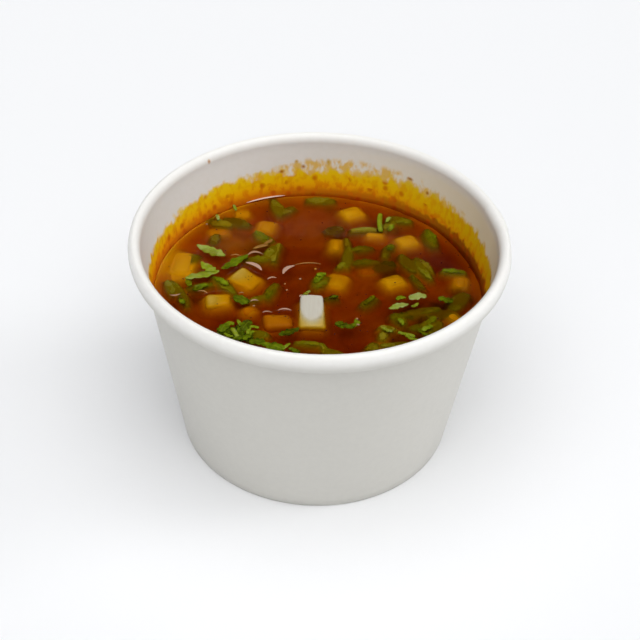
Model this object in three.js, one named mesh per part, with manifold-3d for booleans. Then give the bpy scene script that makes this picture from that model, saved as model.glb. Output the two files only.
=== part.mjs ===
// A white paper soup cup of birria broth, with diced onion and chopped cilantro afloat.
//
// Millimetres and degrees, +Z up. The origin is the middle of the foot ring, where the
// cup stands; +X is to the right and -Y towards the viewer.

import * as THREE from 'three';
import { mergeVertices } from 'three/addons/utils/BufferGeometryUtils.js';
import Module from 'manifold-3d';

const wasm = await Module();
wasm.setup();

// ---- Driving dimensions ----

const GAP = 0.3; // clearance between pieces that lie against or in each other
const TURN_STEPS = 60; // sides of everything turned on the cup's axis

// The cup: a cone of coated board, rolled outwards at the rim and folded in at the foot.
const CUP_HEIGHT = 60.9;
const RIM_RADIUS = 48;
const FOOT_RADIUS = 35.8;
const BOARD = 0.5;
const ROLL_HEIGHT = 5;
const ROLL_WIDTH = 2.7;
const ROLL_TAIL_ANGLE = -140; // where the curled edge stops, under the roll
const FOOT_HEIGHT = 6.5; // how far the folded foot reaches up inside
const FOOT_THICKNESS = 1.5; // wall, base flange and hem pressed together
const FOLD_RADIUS = 0.3;

// The broth, filled to two thirds, climbs the wall a little all round.
const BROTH_LEVEL = 43.6;
const MENISCUS_RISE = 1.2;
const MENISCUS_DECAY = 1.1;
const MENISCUS_RINGS = [0, 0.5, 1.2, 2.4, 4.2]; // distances from the wall

// Cilantro, which lies on the surface in shallow wet hollows.
const LEAF_THICKNESS = 0.4;
const LEAF_FLOAT = 0.2; // height of a leaf's middle above the broth
const LEAF_WAVE = 0.25; // how far a leaf ripples up and down
const LEAF_EDGE_THINNING = 0.45; // share of its thickness that a leaf loses at its edge
const STEM_ROUNDNESS = 0.8; // a stem's thickness over its width
const LEAF_EDGE_CALM = 0.3; // share of its ripple that a leaf loses at its edge
const HOLLOW_MARGIN = 0.4; // sideways, which leaves GAP square to a slanted edge
const LONG_BLADE = 5; // blades longer than this take LONG_STEPS along, others SHORT_STEPS
const LONG_STEPS = 8;
const SHORT_STEPS = 6;
const FLAKE_SINK = 0.15; // how far a fused flake's underside lies below the broth

// Onion, cut in dice across its layers.
const DICE_CORNER = 0.6;
const DICE_BULGE = 0.35; // height of a layer's curve across one piece
const DICE_TAPER = 0.16; // share by which a piece narrows from end to end

// Cutters reach this far above the surface.
const CUT_ABOVE = 4;

// ---- Colours ----

const finish = (color, roughness) => new THREE.MeshStandardMaterial({ color, roughness, metalness: 0 });
const PAPER = () => finish('#e4e2dd', 0.55);
const BROTH = () => finish('#6f2c01', 0.12);
const ONION = () => finish('#cfc6ae', 0.35);
const CILANTRO = () => finish('#6a8a26', 0.45);

// ---- Sizes that follow from them ----

const ROLL_MIDDLE = CUP_HEIGHT - ROLL_HEIGHT / 2;
const WALL_SLOPE = (RIM_RADIUS - ROLL_WIDTH - FOOT_RADIUS) / ROLL_MIDDLE;
const BASE_BOTTOM = FOOT_HEIGHT + GAP;
const BASE_TOP = BASE_BOTTOM + BOARD;
const BROTH_BOTTOM = BASE_TOP + GAP;

const outerRadius = (z) => FOOT_RADIUS + WALL_SLOPE * z;
const innerRadius = (z) => outerRadius(z) - BOARD;

// ---- Meshes and solids ----

/** Welds a closed geometry by position, drops collapsed triangles and faces it outwards. */
function weld(geometry) {
  const bare = new THREE.BufferGeometry();
  bare.setAttribute('position', geometry.getAttribute('position'));
  bare.setIndex(geometry.index);
  const welded = mergeVertices(bare);
  const [a, b, c] = [new THREE.Vector3(), new THREE.Vector3(), new THREE.Vector3()];
  const { position } = welded.attributes;
  const kept = [];
  let volume = 0;
  for (let i = 0; i < welded.index.count; i += 3) {
    const corners = [0, 1, 2].map((k) => welded.index.getX(i + k));
    if (new Set(corners).size === 3) {
      kept.push(corners);
      [a, b, c].forEach((corner, k) => corner.fromBufferAttribute(position, corners[k]));
      volume += a.dot(b.cross(c));
    }
  }
  welded.setIndex(kept.map((corners) => (volume > 0 ? corners : corners.reverse())).flat());
  return welded;
}

function toSolid(geometry) {
  const { attributes, index } = weld(geometry);
  const vertProperties = new Float32Array(attributes.position.array);
  const triVerts = new Uint32Array(index.array);
  return new wasm.Manifold(new wasm.Mesh({ numProp: 3, vertProperties, triVerts }));
}

function toGeometry(solid) {
  const { vertProperties, triVerts } = solid.getMesh();
  const geometry = new THREE.BufferGeometry();
  geometry.setAttribute('position', new THREE.BufferAttribute(vertProperties, 3));
  geometry.setIndex(new THREE.BufferAttribute(triVerts, 1));
  return geometry;
}

const fuse = (geometries) => geometries.map(toSolid).reduce((whole, next) => whole.add(next));

function piece(name, geometry, material) {
  const mesh = new THREE.Mesh(geometry, material);
  mesh.name = name;
  return mesh;
}

/** Turns a closed outline of [radius, height] points round the cup's axis. */
function turned(outline) {
  const points = outline.map(([r, z]) => new THREE.Vector2(r, z));
  return weld(new THREE.LatheGeometry(points, TURN_STEPS).rotateX(Math.PI / 2));
}

/** Points of an upright ellipse's arc from one angle to another, both included. */
function arc(middle, halfWidth, halfHeight, from, to, steps) {
  return Array.from({ length: steps + 1 }, (_, i) => {
    const angle = THREE.MathUtils.degToRad(from + ((to - from) * i) / steps);
    return [middle[0] + halfWidth * Math.cos(angle), middle[1] + halfHeight * Math.sin(angle)];
  });
}

/**
 * A closed slab over a grid: sheet(u, v) is its middle, with u from 0 to 1 and v from -1 to 1.
 * It reaches lift(v) above that sheet and drop(v) below. Both faces are split alike.
 */
function slab(sheet, lift, drop, steps, across) {
  const rows = steps + 1;
  const columns = across + 1;
  const points = [];
  for (const side of [1, -1]) {
    for (let i = 0; i < rows; i++) {
      for (let j = 0; j < columns; j++) {
        const v = (2 * j) / across - 1;
        const [x, y, z] = sheet(i / steps, v);
        points.push(x, y, side > 0 ? z + lift(v) : z - drop(v));
      }
    }
  }
  const top = (i, j) => i * columns + j;
  const under = (i, j) => rows * columns + top(i, j);
  const faces = [];
  const quad = (a, b, c, d) => faces.push(a, b, c, a, c, d);
  for (let i = 0; i < steps; i++) {
    for (let j = 0; j < across; j++) {
      quad(top(i, j), top(i + 1, j), top(i + 1, j + 1), top(i, j + 1));
      faces.push(under(i, j), under(i + 1, j + 1), under(i + 1, j));
      faces.push(under(i, j), under(i, j + 1), under(i + 1, j + 1));
    }
    quad(under(i, 0), under(i + 1, 0), top(i + 1, 0), top(i, 0));
    quad(top(i, across), top(i + 1, across), under(i + 1, across), under(i, across));
  }
  for (let j = 0; j < across; j++) {
    quad(top(0, j), top(0, j + 1), under(0, j + 1), under(0, j));
    quad(under(steps, j), under(steps, j + 1), top(steps, j + 1), top(steps, j));
  }
  const geometry = new THREE.BufferGeometry();
  geometry.setAttribute('position', new THREE.Float32BufferAttribute(points, 3));
  geometry.setIndex(faces);
  return geometry;
}

// ---- The cup ----

/** The wall: foot fold, cone and rolled rim in one outline. */
function cupWall() {
  const rollRadius = RIM_RADIUS - ROLL_WIDTH / 2;
  const rollMiddle = [rollRadius, ROLL_MIDDLE];
  const innerReach = rollRadius - innerRadius(ROLL_MIDDLE);
  const tailTop = ROLL_MIDDLE + (ROLL_HEIGHT / 2) * Math.sin(THREE.MathUtils.degToRad(ROLL_TAIL_ANGLE)) + FOLD_RADIUS;
  const footInside = (z) => outerRadius(z) - FOOT_THICKNESS;
  const outline = [
    [FOOT_RADIUS - FOLD_RADIUS, 0],
    [outerRadius(FOLD_RADIUS), FOLD_RADIUS],
    [outerRadius(tailTop), tailTop],
    ...arc(rollMiddle, ROLL_WIDTH / 2, ROLL_HEIGHT / 2, ROLL_TAIL_ANGLE, 90, 11),
    ...arc(rollMiddle, innerReach, ROLL_HEIGHT / 2, 90, 180, 5).slice(1),
    [innerRadius(FOOT_HEIGHT), FOOT_HEIGHT],
    [footInside(FOOT_HEIGHT), FOOT_HEIGHT],
    [footInside(FOLD_RADIUS), FOLD_RADIUS],
    [FOOT_RADIUS - FOOT_THICKNESS + FOLD_RADIUS, 0],
  ];
  return turned([...outline, outline[0]]);
}

/** The flat disc that rests on the folded foot. */
function cupBase() {
  return turned([
    [0, BASE_BOTTOM],
    [innerRadius(BASE_BOTTOM) - GAP, BASE_BOTTOM],
    [innerRadius(BASE_TOP) - GAP, BASE_TOP],
    [0, BASE_TOP],
  ]);
}

// ---- Cilantro ----

// How a blade's outline runs. point: 0 is a blunt strip and 1 a pointed lens. tooth: depth
// of its teeth, as a share of its width. teeth: how many a side. skew: over 1 moves the
// widest place towards the tip.
const LEAF = { point: 0.8, tooth: 0.3, teeth: 4, skew: 1 };
const LOBE = { point: 0.45, tooth: 0.22, teeth: 3, skew: 1 };
const SHRED = { point: 0.35, tooth: 0.2, teeth: 4, skew: 1 };
const STEM = { point: 0.12, tooth: 0, teeth: 1, skew: 1 };

/** One blade: its middle, the way its tip points, its length and width, and its sideways bow. */
const blade = (kind, x, y, heading, length, width, bow = 0) => ({ ...kind, x, y, heading, length, width, bow });

// Each sprig is one chopped scrap, of one to three blades grown together.
const SPRIGS = [
  // left of the middle, from the wall inwards
  [blade(LEAF, -28.9, 14.1, -29, 8.8, 2.9, 0.3)],
  [
    blade(LEAF, -30.3, 3.5, 24, 9.2, 3.6, 0.4),
    blade(LEAF, -29.0, 6.9, -46, 5.8, 2.8),
    blade(SHRED, -33.6, 0.9, -76, 3.6, 1.5),
  ],
  [blade(LEAF, -22.2, 9.9, 43, 8.8, 2.9, -0.3)],
  [blade(LOBE, -27.2, 27.9, -15, 6.2, 3.0)],
  [blade(LEAF, -15.9, 22.4, -45, 4.8, 2.3)],
  [blade(SHRED, -11.6, 15.2, 82, 8.2, 1.7, 0.4)],
  [blade(SHRED, -38.3, -1.0, -68, 5.2, 1.9)],
  [blade(LOBE, -19.7, -5.9, -35, 4.6, 3.0)],
  [blade(SHRED, -12.1, -0.8, 72, 6.8, 1.9, 0.3)],
  // the middle and the back right
  [blade(LOBE, -0.2, 4.4, 70, 4.4, 2.1)],
  [
    blade(SHRED, 7.2, 17.3, 92, 11.4, 1.5, -0.4),
    blade(SHRED, 10.0, 18.3, 12, 5.4, 1.6),
    blade(SHRED, 6.1, 10.8, 45, 3.4, 1.7),
  ],
  [blade(SHRED, 11.8, 12.5, 8, 6.0, 1.8)],
  [blade(STEM, 16.3, 29.3, 90, 8.2, 1.4, 0.3)],
  [blade(LEAF, 29.6, 24.2, -80, 7.4, 2.8, 0.3)],
  [blade(SHRED, 35.3, 9.3, -3, 5.8, 1.4, -0.2)],
  [blade(LEAF, 27.3, 9.8, -64, 8.6, 2.5)],
  [blade(SHRED, 25.6, 5.1, -62, 5.6, 1.5)],
  // the front right
  [blade(LOBE, 25.4, -2.6, 8, 4.6, 2.7)],
  [blade(LEAF, 20.5, -6.7, 22, 5.4, 2.1)],
  [blade(LOBE, 32.6, -3.3, -8, 3.9, 2.8)],
  [blade(SHRED, 28.0, -11.8, 52, 5.4, 2.0)],
  [blade(STEM, 22.2, -17.8, -24, 4.4, 0.9, 0.3)],
  [blade(LEAF, 7.0, -15.1, -10, 4.4, 2.7), blade(SHRED, 9.3, -14.4, 32, 3.0, 1.4)],
  // along the near side
  [blade(LOBE, -23.3, -17.3, 30, 3.4, 2.3)],
  [blade(LOBE, -17.7, -16.0, 65, 4.3, 2.8)],
  [blade(STEM, -20.3, -19.4, -60, 3.4, 1.1)],
  [blade(LOBE, -14.8, -22.2, 20, 3.9, 3.0)],
  [blade(LOBE, -10.1, -24.1, -20, 4.6, 2.9)],
  [blade(LEAF, -7.0, -18.0, 30, 5.6, 2.5)],
  [blade(SHRED, -1.9, -21.3, -3, 6.6, 1.6), blade(SHRED, 2.3, -23.4, -58, 4.8, 1.6)],
  // behind the near rim
  [blade(LOBE, -32.2, -20.6, 60, 4.6, 3.0)],
  [blade(LEAF, -24.6, -26.6, 32, 7.2, 2.8, 0.3)],
  [blade(SHRED, -21.6, -32.0, 65, 4.6, 1.6)],
  [blade(LEAF, -5.2, -32.8, -15, 8.0, 2.7, 0.3)],
  [blade(LOBE, 1.8, -37.6, 5, 4.2, 2.6)],
  [blade(SHRED, 7.6, -31.6, 48, 6.2, 1.7)],
  [blade(LEAF, 25.0, -28.6, -40, 6.8, 2.8)],
  [blade(STEM, 32.2, -21.6, 35, 5.6, 1.2, 0.3)],
];

// Scraps too small to be pieces of their own, grown onto the broth's skin.
const FLAKES = [
  blade(LOBE, 21.1, -3.3, 20, 2.7, 1.6),
  blade(SHRED, 24.6, -6.1, 38, 2.3, 1.0),
  blade(SHRED, 13.1, -3.6, 52, 4.0, 1.4),
  blade(SHRED, 3.9, -3.4, 12, 2.4, 1.2),
  blade(LOBE, 19.0, 27.4, 70, 2.6, 1.5),
  blade(SHRED, 18.6, 18.5, 80, 2.2, 1.5),
  blade(SHRED, 26.4, -16.6, -48, 3.0, 1.3),
  blade(SHRED, 17.6, -16.0, -25, 2.6, 1.5),
  blade(LOBE, -31.0, -1.8, 25, 2.8, 1.4),
  blade(LOBE, -34.6, -7.1, -60, 2.4, 1.6),
  blade(SHRED, -16.6, -19.4, 45, 2.4, 1.1),
  blade(SHRED, -5.4, -25.0, -20, 3.0, 1.6),
];

/** The middle of a blade's thickness at u along and v across, grown sideways for a cutter. */
function bladePoint(leaf, u, v, grow) {
  const along = 2 * u - 1;
  const body = Math.sin(Math.PI * (0.05 + 0.9 * u ** leaf.skew)) ** leaf.point;
  const phase = leaf.teeth * u + (v > 0 ? 0.5 : 0);
  const notch = grow > 0 ? 0 : leaf.tooth * Math.abs(2 * (phase - Math.floor(phase)) - 1);
  const calm = grow > 0 ? 0 : LEAF_EDGE_CALM * v ** 2;
  const halfWidth = (leaf.width / 2) * body * (1 - notch) + grow;
  const x = along * (leaf.length / 2 + grow);
  const y = v * halfWidth + leaf.bow * (1 - along ** 2);
  const turn = THREE.MathUtils.degToRad(leaf.heading);
  const wave = 1.5 * (x / leaf.length + 0.5) + leaf.x / leaf.length;
  const ripple = Math.sin(Math.PI * wave) * (1 - calm);
  return [
    leaf.x + x * Math.cos(turn) - y * Math.sin(turn),
    leaf.y + x * Math.sin(turn) + y * Math.cos(turn),
    LEAF_WAVE * ripple,
  ];
}

const bladeSteps = (leaf) => (leaf.length > LONG_BLADE ? LONG_STEPS : SHORT_STEPS);

function bladeSlab(leaf, height, lift, drop, across, grow = 0) {
  const sheet = (u, v) => {
    const [x, y, ripple] = bladePoint(leaf, u, v, grow);
    return [x, y, height + ripple];
  };
  return slab(sheet, lift, drop, bladeSteps(leaf), across);
}

/** Leaves are thin, and stems nearly as thick as wide. */
const bladeThickness = (leaf) => (leaf.tooth > 0 ? LEAF_THICKNESS : STEM_ROUNDNESS * leaf.width);

/** A floating blade, thinner at its edges. */
function floatingBlade(leaf) {
  const half = (v) => (bladeThickness(leaf) / 2) * (1 - LEAF_EDGE_THINNING * v ** 2);
  return bladeSlab(leaf, BROTH_LEVEL + LEAF_FLOAT, half, half, 2);
}

/** The hollow that a floating blade lies in, open upwards. */
function bladeHollow(leaf) {
  const depth = bladeThickness(leaf) / 2 + GAP;
  return bladeSlab(leaf, BROTH_LEVEL + LEAF_FLOAT, () => CUT_ABOVE, () => depth, 1, HOLLOW_MARGIN);
}

/** A scrap grown onto the broth: its underside is in the broth and its top stands clear. */
function fusedFlake(leaf) {
  const depth = LEAF_WAVE + FLAKE_SINK;
  return bladeSlab(leaf, BROTH_LEVEL, () => LEAF_THICKNESS, () => depth, 2);
}

// ---- Onion ----

/** A piece of onion: its middle, its top's height over the broth there, and how it lies. */
const dice = (x, y, rise, heading, tilt, size) => {
  const [length, width, height] = size;
  return { x, y, rise, heading, tilt, length, width, height };
};

const DICE = [
  dice(-1.0, -10.2, 0.3, -83, 10, [11.4, 5.8, 4.2]), // the long white slab
  dice(-19.2, 3.3, 0.1, -38, 10, [7.8, 5.8, 4.6]),
  dice(-25.6, -5.6, 0.1, 14, 9, [6.4, 4.8, 4.0]),
  dice(-9.8, -13.0, 0.1, 5, 2, [7.6, 5.4, 4.2]),
  dice(-35.7, 8.3, 0.1, 82, 2, [8.2, 5.8, 4.0]),
  dice(-14.6, -30.0, 0.3, 20, 7, [7.4, 6.0, 4.4]), // behind the near rim
  dice(16.4, -30.6, 0.2, -30, 8, [8.0, 5.6, 4.2]), // behind the near rim
];

const diceMiddle = (onion) => BROTH_LEVEL + onion.rise - onion.height / 2;

/** A box with rounded corners, bulged along its layer and narrower at one end. */
function diceSolid(onion) {
  const half = [onion.length / 2, onion.width / 2, onion.height / 2];
  const box = new THREE.BoxGeometry(onion.length, onion.width, onion.height, 4, 4, 2);
  const { position } = box.attributes;
  const shell = new THREE.Vector3();
  for (let i = 0; i < position.count; i++) {
    const core = [];
    shell.fromBufferAttribute(position, i).toArray().forEach((at, axis) => {
      const inner = half[axis] - DICE_CORNER;
      const atMiddle = Math.abs(at) < half[axis] / 4;
      const atEdge = Math.abs(at) > 0.9 * half[axis];
      const placed = atMiddle || atEdge ? at : Math.sign(at) * inner;
      shell.setComponent(axis, placed);
      core[axis] = THREE.MathUtils.clamp(placed, -inner, inner);
    });
    const middle = new THREE.Vector3(...core);
    shell.sub(middle).setLength(DICE_CORNER).add(middle);
    shell.y *= 1 - (DICE_TAPER * shell.x) / onion.length;
    shell.z += DICE_BULGE * (0.5 - (shell.y / half[1]) ** 2);
    position.setXYZ(i, shell.x, shell.y, shell.z);
  }
  return box
    .rotateY(THREE.MathUtils.degToRad(onion.tilt))
    .rotateZ(THREE.MathUtils.degToRad(onion.heading))
    .translate(onion.x, onion.y, diceMiddle(onion));
}

/** The upright hollow round a piece of onion, open upwards. */
function diceHollow(onion) {
  const tilt = THREE.MathUtils.degToRad(onion.tilt);
  const length = onion.length * Math.cos(tilt) + onion.height * Math.sin(tilt) + 2 * GAP;
  const width = onion.width * (1 + DICE_TAPER / 2) + 2 * GAP;
  const reach = (onion.length * Math.sin(tilt) + onion.height * Math.cos(tilt)) / 2 + DICE_BULGE;
  const bottom = diceMiddle(onion) - reach - GAP;
  const top = BROTH_LEVEL + CUT_ABOVE;
  return new THREE.BoxGeometry(length, width, top - bottom)
    .rotateZ(THREE.MathUtils.degToRad(onion.heading))
    .translate(onion.x, onion.y, (top + bottom) / 2);
}

// ---- The broth ----

function broth() {
  const edgeRadius = (z) => innerRadius(z) - GAP;
  const crest = BROTH_LEVEL + MENISCUS_RISE;
  const climb = MENISCUS_RINGS.map((inwards) => [
    edgeRadius(crest) - inwards,
    BROTH_LEVEL + MENISCUS_RISE * Math.exp(-inwards / MENISCUS_DECAY),
  ]);
  const innermost = MENISCUS_RINGS.at(-1);
  const body = turned([
    [0, BROTH_BOTTOM],
    [edgeRadius(BROTH_BOTTOM), BROTH_BOTTOM],
    ...climb,
    [edgeRadius(crest) - 1.5 * innermost, BROTH_LEVEL],
    [0, BROTH_LEVEL],
  ]);
  const hollows = fuse([...SPRIGS.flat().map(bladeHollow), ...DICE.map(diceHollow)]);
  return toGeometry(toSolid(body).subtract(hollows).add(fuse(FLAKES.map(fusedFlake))));
}

// ---- The whole ----

const group = new THREE.Group();
group.add(piece('cup_wall', cupWall(), PAPER()));
group.add(piece('cup_base', cupBase(), PAPER()));
group.add(piece('broth', broth(), BROTH()));
DICE.forEach((onion, i) => group.add(piece(`onion_${i + 1}`, weld(diceSolid(onion)), ONION())));
SPRIGS.forEach((sprig, i) => {
  const name = `cilantro_${String(i + 1).padStart(2, '0')}`;
  group.add(piece(name, toGeometry(fuse(sprig.map(floatingBlade))), CILANTRO()));
});

export default group;
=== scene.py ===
"""A white paper soup cup of birria broth, with diced onion and chopped cilantro.

Shapes are worked out in millimetres on numpy grids and written to meshes in metres, in the
frame of the solids: +Z up, the origin under the middle of the foot, -Y towards the viewer.
"""

import math

import bpy
import numpy as np
from mathutils import Matrix, Vector


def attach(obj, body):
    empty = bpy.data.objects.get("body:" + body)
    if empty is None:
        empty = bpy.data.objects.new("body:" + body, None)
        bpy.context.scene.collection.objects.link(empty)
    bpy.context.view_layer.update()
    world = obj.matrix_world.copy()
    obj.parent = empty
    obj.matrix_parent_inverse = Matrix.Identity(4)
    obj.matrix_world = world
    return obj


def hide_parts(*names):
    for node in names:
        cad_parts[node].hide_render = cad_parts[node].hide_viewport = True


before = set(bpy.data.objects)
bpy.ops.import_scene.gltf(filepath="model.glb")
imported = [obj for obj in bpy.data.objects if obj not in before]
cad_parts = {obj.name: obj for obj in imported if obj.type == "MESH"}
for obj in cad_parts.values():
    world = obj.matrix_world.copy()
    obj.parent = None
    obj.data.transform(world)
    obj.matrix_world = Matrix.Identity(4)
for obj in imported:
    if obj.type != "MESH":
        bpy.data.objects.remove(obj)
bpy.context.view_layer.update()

MM = 0.001

# ---- Sizes of the solids, in millimetres ----

CUP_HEIGHT = 60.9
RIM_RADIUS = 48.0
FOOT_RADIUS = 35.8
BOARD = 0.5
ROLL_HEIGHT = 5.0
ROLL_WIDTH = 2.7
ROLL_TAIL_ANGLE = -140.0
FOOT_HEIGHT = 6.5
FOOT_THICKNESS = 1.5
FOLD_RADIUS = 0.3
GAP = 0.3
BROTH_LEVEL = 43.6
LEAF_THICKNESS = 0.4
LEAF_WAVE = 0.25
LEAF_EDGE_CALM = 0.3
STEM_ROUNDNESS = 0.8
DICE_BULGE = 0.35
DICE_TAPER = 0.16

ROLL_MIDDLE = CUP_HEIGHT - ROLL_HEIGHT / 2
WALL_SLOPE = (RIM_RADIUS - ROLL_WIDTH - FOOT_RADIUS) / ROLL_MIDDLE
BASE_BOTTOM = FOOT_HEIGHT + GAP
BASE_TOP = BASE_BOTTOM + BOARD


def outer_radius(z):
    return FOOT_RADIUS + WALL_SLOPE * z


def inner_radius(z):
    return outer_radius(z) - BOARD


# ---- What floats: the same rows as the solids ----

# How a blade's outline runs: point (the lower, the blunter), depth of its teeth, teeth a side.
KINDS = {
    "leaf": (0.8, 0.3, 4),
    "lobe": (0.45, 0.22, 3),
    "shred": (0.35, 0.2, 4),
    "stem": (0.12, 0.0, 1),
}

# kind, x, y, heading, length, width, bow, tone and lift. A tone of 0 is dark green and of 1 pale
# green. The lift is how far a blade is drawn over the broth's level: many show just under it.
FLOATING_BLADES = [
    ("leaf", -28.9, 14.1, -29, 8.8, 2.9, 0.3, 0.72, 0.10),
    ("leaf", -30.3, 3.5, 24, 9.2, 3.6, 0.4, 0.68, 0.15),
    ("leaf", -29.0, 6.9, -46, 5.8, 2.8, 0, 0.62, 0.20),
    ("shred", -33.6, 0.9, -76, 3.6, 1.5, 0, 0.50, -0.20),
    ("leaf", -22.2, 9.9, 43, 8.8, 2.9, -0.3, 0.26, 0.00),
    ("lobe", -27.2, 27.9, -15, 6.2, 3.0, 0, 1.00, -1.25),
    ("leaf", -15.9, 22.4, -45, 4.8, 2.3, 0, 0.52, -0.55),
    ("shred", -11.6, 15.2, 82, 8.2, 1.7, 0.4, 0.98, -0.95),
    ("shred", -38.3, -1.0, -68, 5.2, 1.9, 0, 0.88, -0.75),
    ("lobe", -19.7, -5.9, -35, 4.6, 3.0, 0, 0.16, 0.00),
    ("shred", -12.1, -0.8, 72, 6.8, 1.9, 0.3, 0.40, -1.20),
    ("lobe", -0.2, 4.4, 70, 4.4, 2.1, 0, 0.36, -0.45),
    ("shred", 7.2, 17.3, 92, 11.4, 1.5, -0.4, 0.92, -1.35),
    ("shred", 10.0, 18.3, 12, 5.4, 1.6, 0, 0.62, -1.35),
    ("shred", 6.1, 10.8, 45, 3.4, 1.7, 0, 0.74, -1.00),
    ("shred", 11.8, 12.5, 8, 6.0, 1.8, 0, 0.60, -1.55),
    ("stem", 16.3, 29.3, 90, 8.2, 1.4, 0.3, 0.56, 0.00),
    ("leaf", 29.6, 24.2, -80, 7.4, 2.8, 0.3, 0.42, -0.85),
    ("shred", 35.3, 9.3, -3, 5.8, 1.6, -0.2, 0.46, -0.45),
    ("leaf", 27.3, 9.8, -64, 8.6, 2.5, 0, 0.78, -0.95),
    ("shred", 25.6, 5.1, -62, 5.6, 1.5, 0, 0.50, -1.40),
    ("lobe", 25.4, -2.6, 8, 4.6, 2.7, 0, 0.86, 0.15),
    ("leaf", 20.5, -6.7, 22, 5.4, 2.1, 0, 0.80, 0.12),
    ("lobe", 32.6, -3.3, -8, 3.9, 2.8, 0, 0.20, 0.00),
    ("shred", 28.0, -11.8, 52, 5.4, 2.0, 0, 0.50, -0.85),
    ("stem", 22.2, -17.8, -24, 4.4, 0.9, 0.3, 0.60, 0.00),
    ("leaf", 7.0, -15.1, -10, 4.4, 2.7, 0, 0.10, -0.10),
    ("shred", 9.3, -14.4, 32, 3.0, 1.4, 0, 0.35, 0.05),
    ("lobe", -23.3, -17.3, 30, 3.4, 2.3, 0, 0.18, 0.10),
    ("lobe", -17.7, -16.0, 65, 4.3, 2.8, 0, 0.08, 0.15),
    ("stem", -20.3, -19.4, -60, 3.4, 1.1, 0, 0.62, 0.22),
    ("lobe", -14.8, -22.2, 20, 3.9, 3.0, 0, 0.16, 0.10),
    ("lobe", -10.1, -24.1, -20, 4.6, 2.9, 0, 0.18, 0.10),
    ("leaf", -7.0, -18.0, 30, 5.6, 2.5, 0, 0.05, -0.05),
    ("shred", -1.9, -21.3, -3, 6.6, 1.6, 0, 0.72, -1.00),
    ("shred", 2.3, -23.4, -58, 4.8, 1.6, 0, 0.80, -1.10),
    ("lobe", -32.2, -20.6, 60, 4.6, 3.0, 0, 0.40, 0.00),
    ("leaf", -24.6, -26.6, 32, 7.2, 2.8, 0.3, 0.60, 0.10),
    ("shred", -21.6, -32.0, 65, 4.6, 1.6, 0, 0.40, -0.30),
    ("leaf", -5.2, -32.8, -15, 8.0, 2.7, 0.3, 0.55, 0.00),
    ("lobe", 1.8, -37.6, 5, 4.2, 2.6, 0, 0.35, -0.20),
    ("shred", 7.6, -31.6, 48, 6.2, 1.7, 0, 0.35, -0.40),
    ("leaf", 25.0, -28.6, -40, 6.8, 2.8, 0, 0.60, 0.10),
    ("stem", 32.2, -21.6, 35, 5.6, 1.2, 0.3, 0.70, 0.10),
]

# The scraps grown onto the broth's skin, in the same columns.
SKIN_FLAKES = [
    ("lobe", 21.1, -3.3, 20, 2.7, 1.6, 0, 0.38, 0.10),
    ("shred", 24.6, -6.1, 38, 2.3, 1.0, 0, 0.60, 0.10),
    ("shred", 13.1, -3.6, 52, 4.0, 1.4, 0, 0.40, -0.90),
    ("shred", 3.9, -3.4, 12, 2.4, 1.2, 0, 0.10, -0.15),
    ("lobe", 19.0, 27.4, 70, 2.6, 1.5, 0, 0.50, -0.20),
    ("shred", 18.6, 18.5, 80, 2.2, 1.5, 0, 0.25, -0.40),
    ("shred", 26.4, -16.6, -48, 3.0, 1.3, 0, 0.40, -0.20),
    ("shred", 17.6, -16.0, -25, 2.6, 1.5, 0, 0.70, -0.10),
    ("lobe", -31.0, -1.8, 25, 2.8, 1.4, 0, 0.20, -0.20),
    ("lobe", -34.6, -7.1, -60, 2.4, 1.6, 0, 0.28, -0.10),
    ("shred", -16.6, -19.4, 45, 2.4, 1.1, 0, 0.40, 0.15),
    ("shred", -5.4, -25.0, -20, 3.0, 1.6, 0, 0.20, 0.00),
]

# x, y, rise of the top over the broth, heading, tilt, length, width, height and soak. A soak of 0
# is white onion, and of 1 is onion stained through.
FLOATING_DICE = [
    (-1.5, -9.8, 0.4, 92, -5, 12.0, 6.4, 4.2, 0.0),
    (-19.2, 3.6, -0.38, -38, 9, 8.0, 6.6, 4.8, 0.26),
    (-25.7, -5.6, -0.38, 14, 9, 6.8, 5.4, 4.4, 0.26),
    (-10.0, -13.0, -0.1, 5, 2, 7.8, 6.0, 4.2, 0.95),
    (-35.9, 9.0, -0.50, 82, 2, 10.0, 6.8, 4.6, 0.50),
    (-14.6, -30.0, 0.3, 20, 7, 7.4, 6.0, 4.4, 0.30),
    (16.4, -30.6, 0.2, -30, 8, 8.0, 5.6, 4.2, 0.40),
]

# ---- What is wholly sunk, in the same columns: its rise or lift is below 0 ----

SUNK_DICE = [
    (-27.6, 24.2, -1.5, 20, 3, 6.6, 5.4, 4.0, 0.5),
    (-21.8, 32.9, -1.05, 10, 4, 4.8, 4.4, 3.0, 0.50),
    (-14.8, 27.2, -1.1, 80, 3, 6.0, 5.4, 4.2, 0.5),
    (-17.5, -8.6, -1.0, 30, 5, 3.8, 3.4, 2.6, 0.7),
    (-37.0, 12.0, -1.10, 70, 4, 6.4, 5.6, 2.6, 0.5),
    (-36.0, 4.4, -0.95, 10, 4, 6.4, 5.0, 2.6, 0.55),
    (4.7, 4.2, -1.1, 75, 4, 6.8, 5.8, 4.2, 0.5),
    (12.9, 9.6, -2.1, 5, 2, 5.4, 4.6, 4.0, 0.6),
    (19.4, 4.6, -0.8, 30, 4, 6.2, 5.4, 4.2, 0.50),
    (8.4, 34.6, -0.75, 30, 3, 6.4, 5.8, 4.2, 0.50),
    (23.3, 22.3, -0.8, 25, 5, 6.0, 5.6, 4.2, 0.50),
    (14.8, 24.8, -0.9, 0, 3, 5.2, 3.0, 2.8, 0.5),
    (4.2, 19.8, -1.0, 85, 5, 6.4, 4.0, 4.2, 0.50),
    (37.0, 5.4, -1.2, 80, 3, 5.8, 4.6, 4.2, 0.5),
    (34.6, -9.2, -1.0, -50, 4, 5.0, 4.0, 4.0, 0.50),
    (5.0, -33.0, -1.4, 35, 3, 6.0, 4.8, 4.2, 0.5),
]

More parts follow.
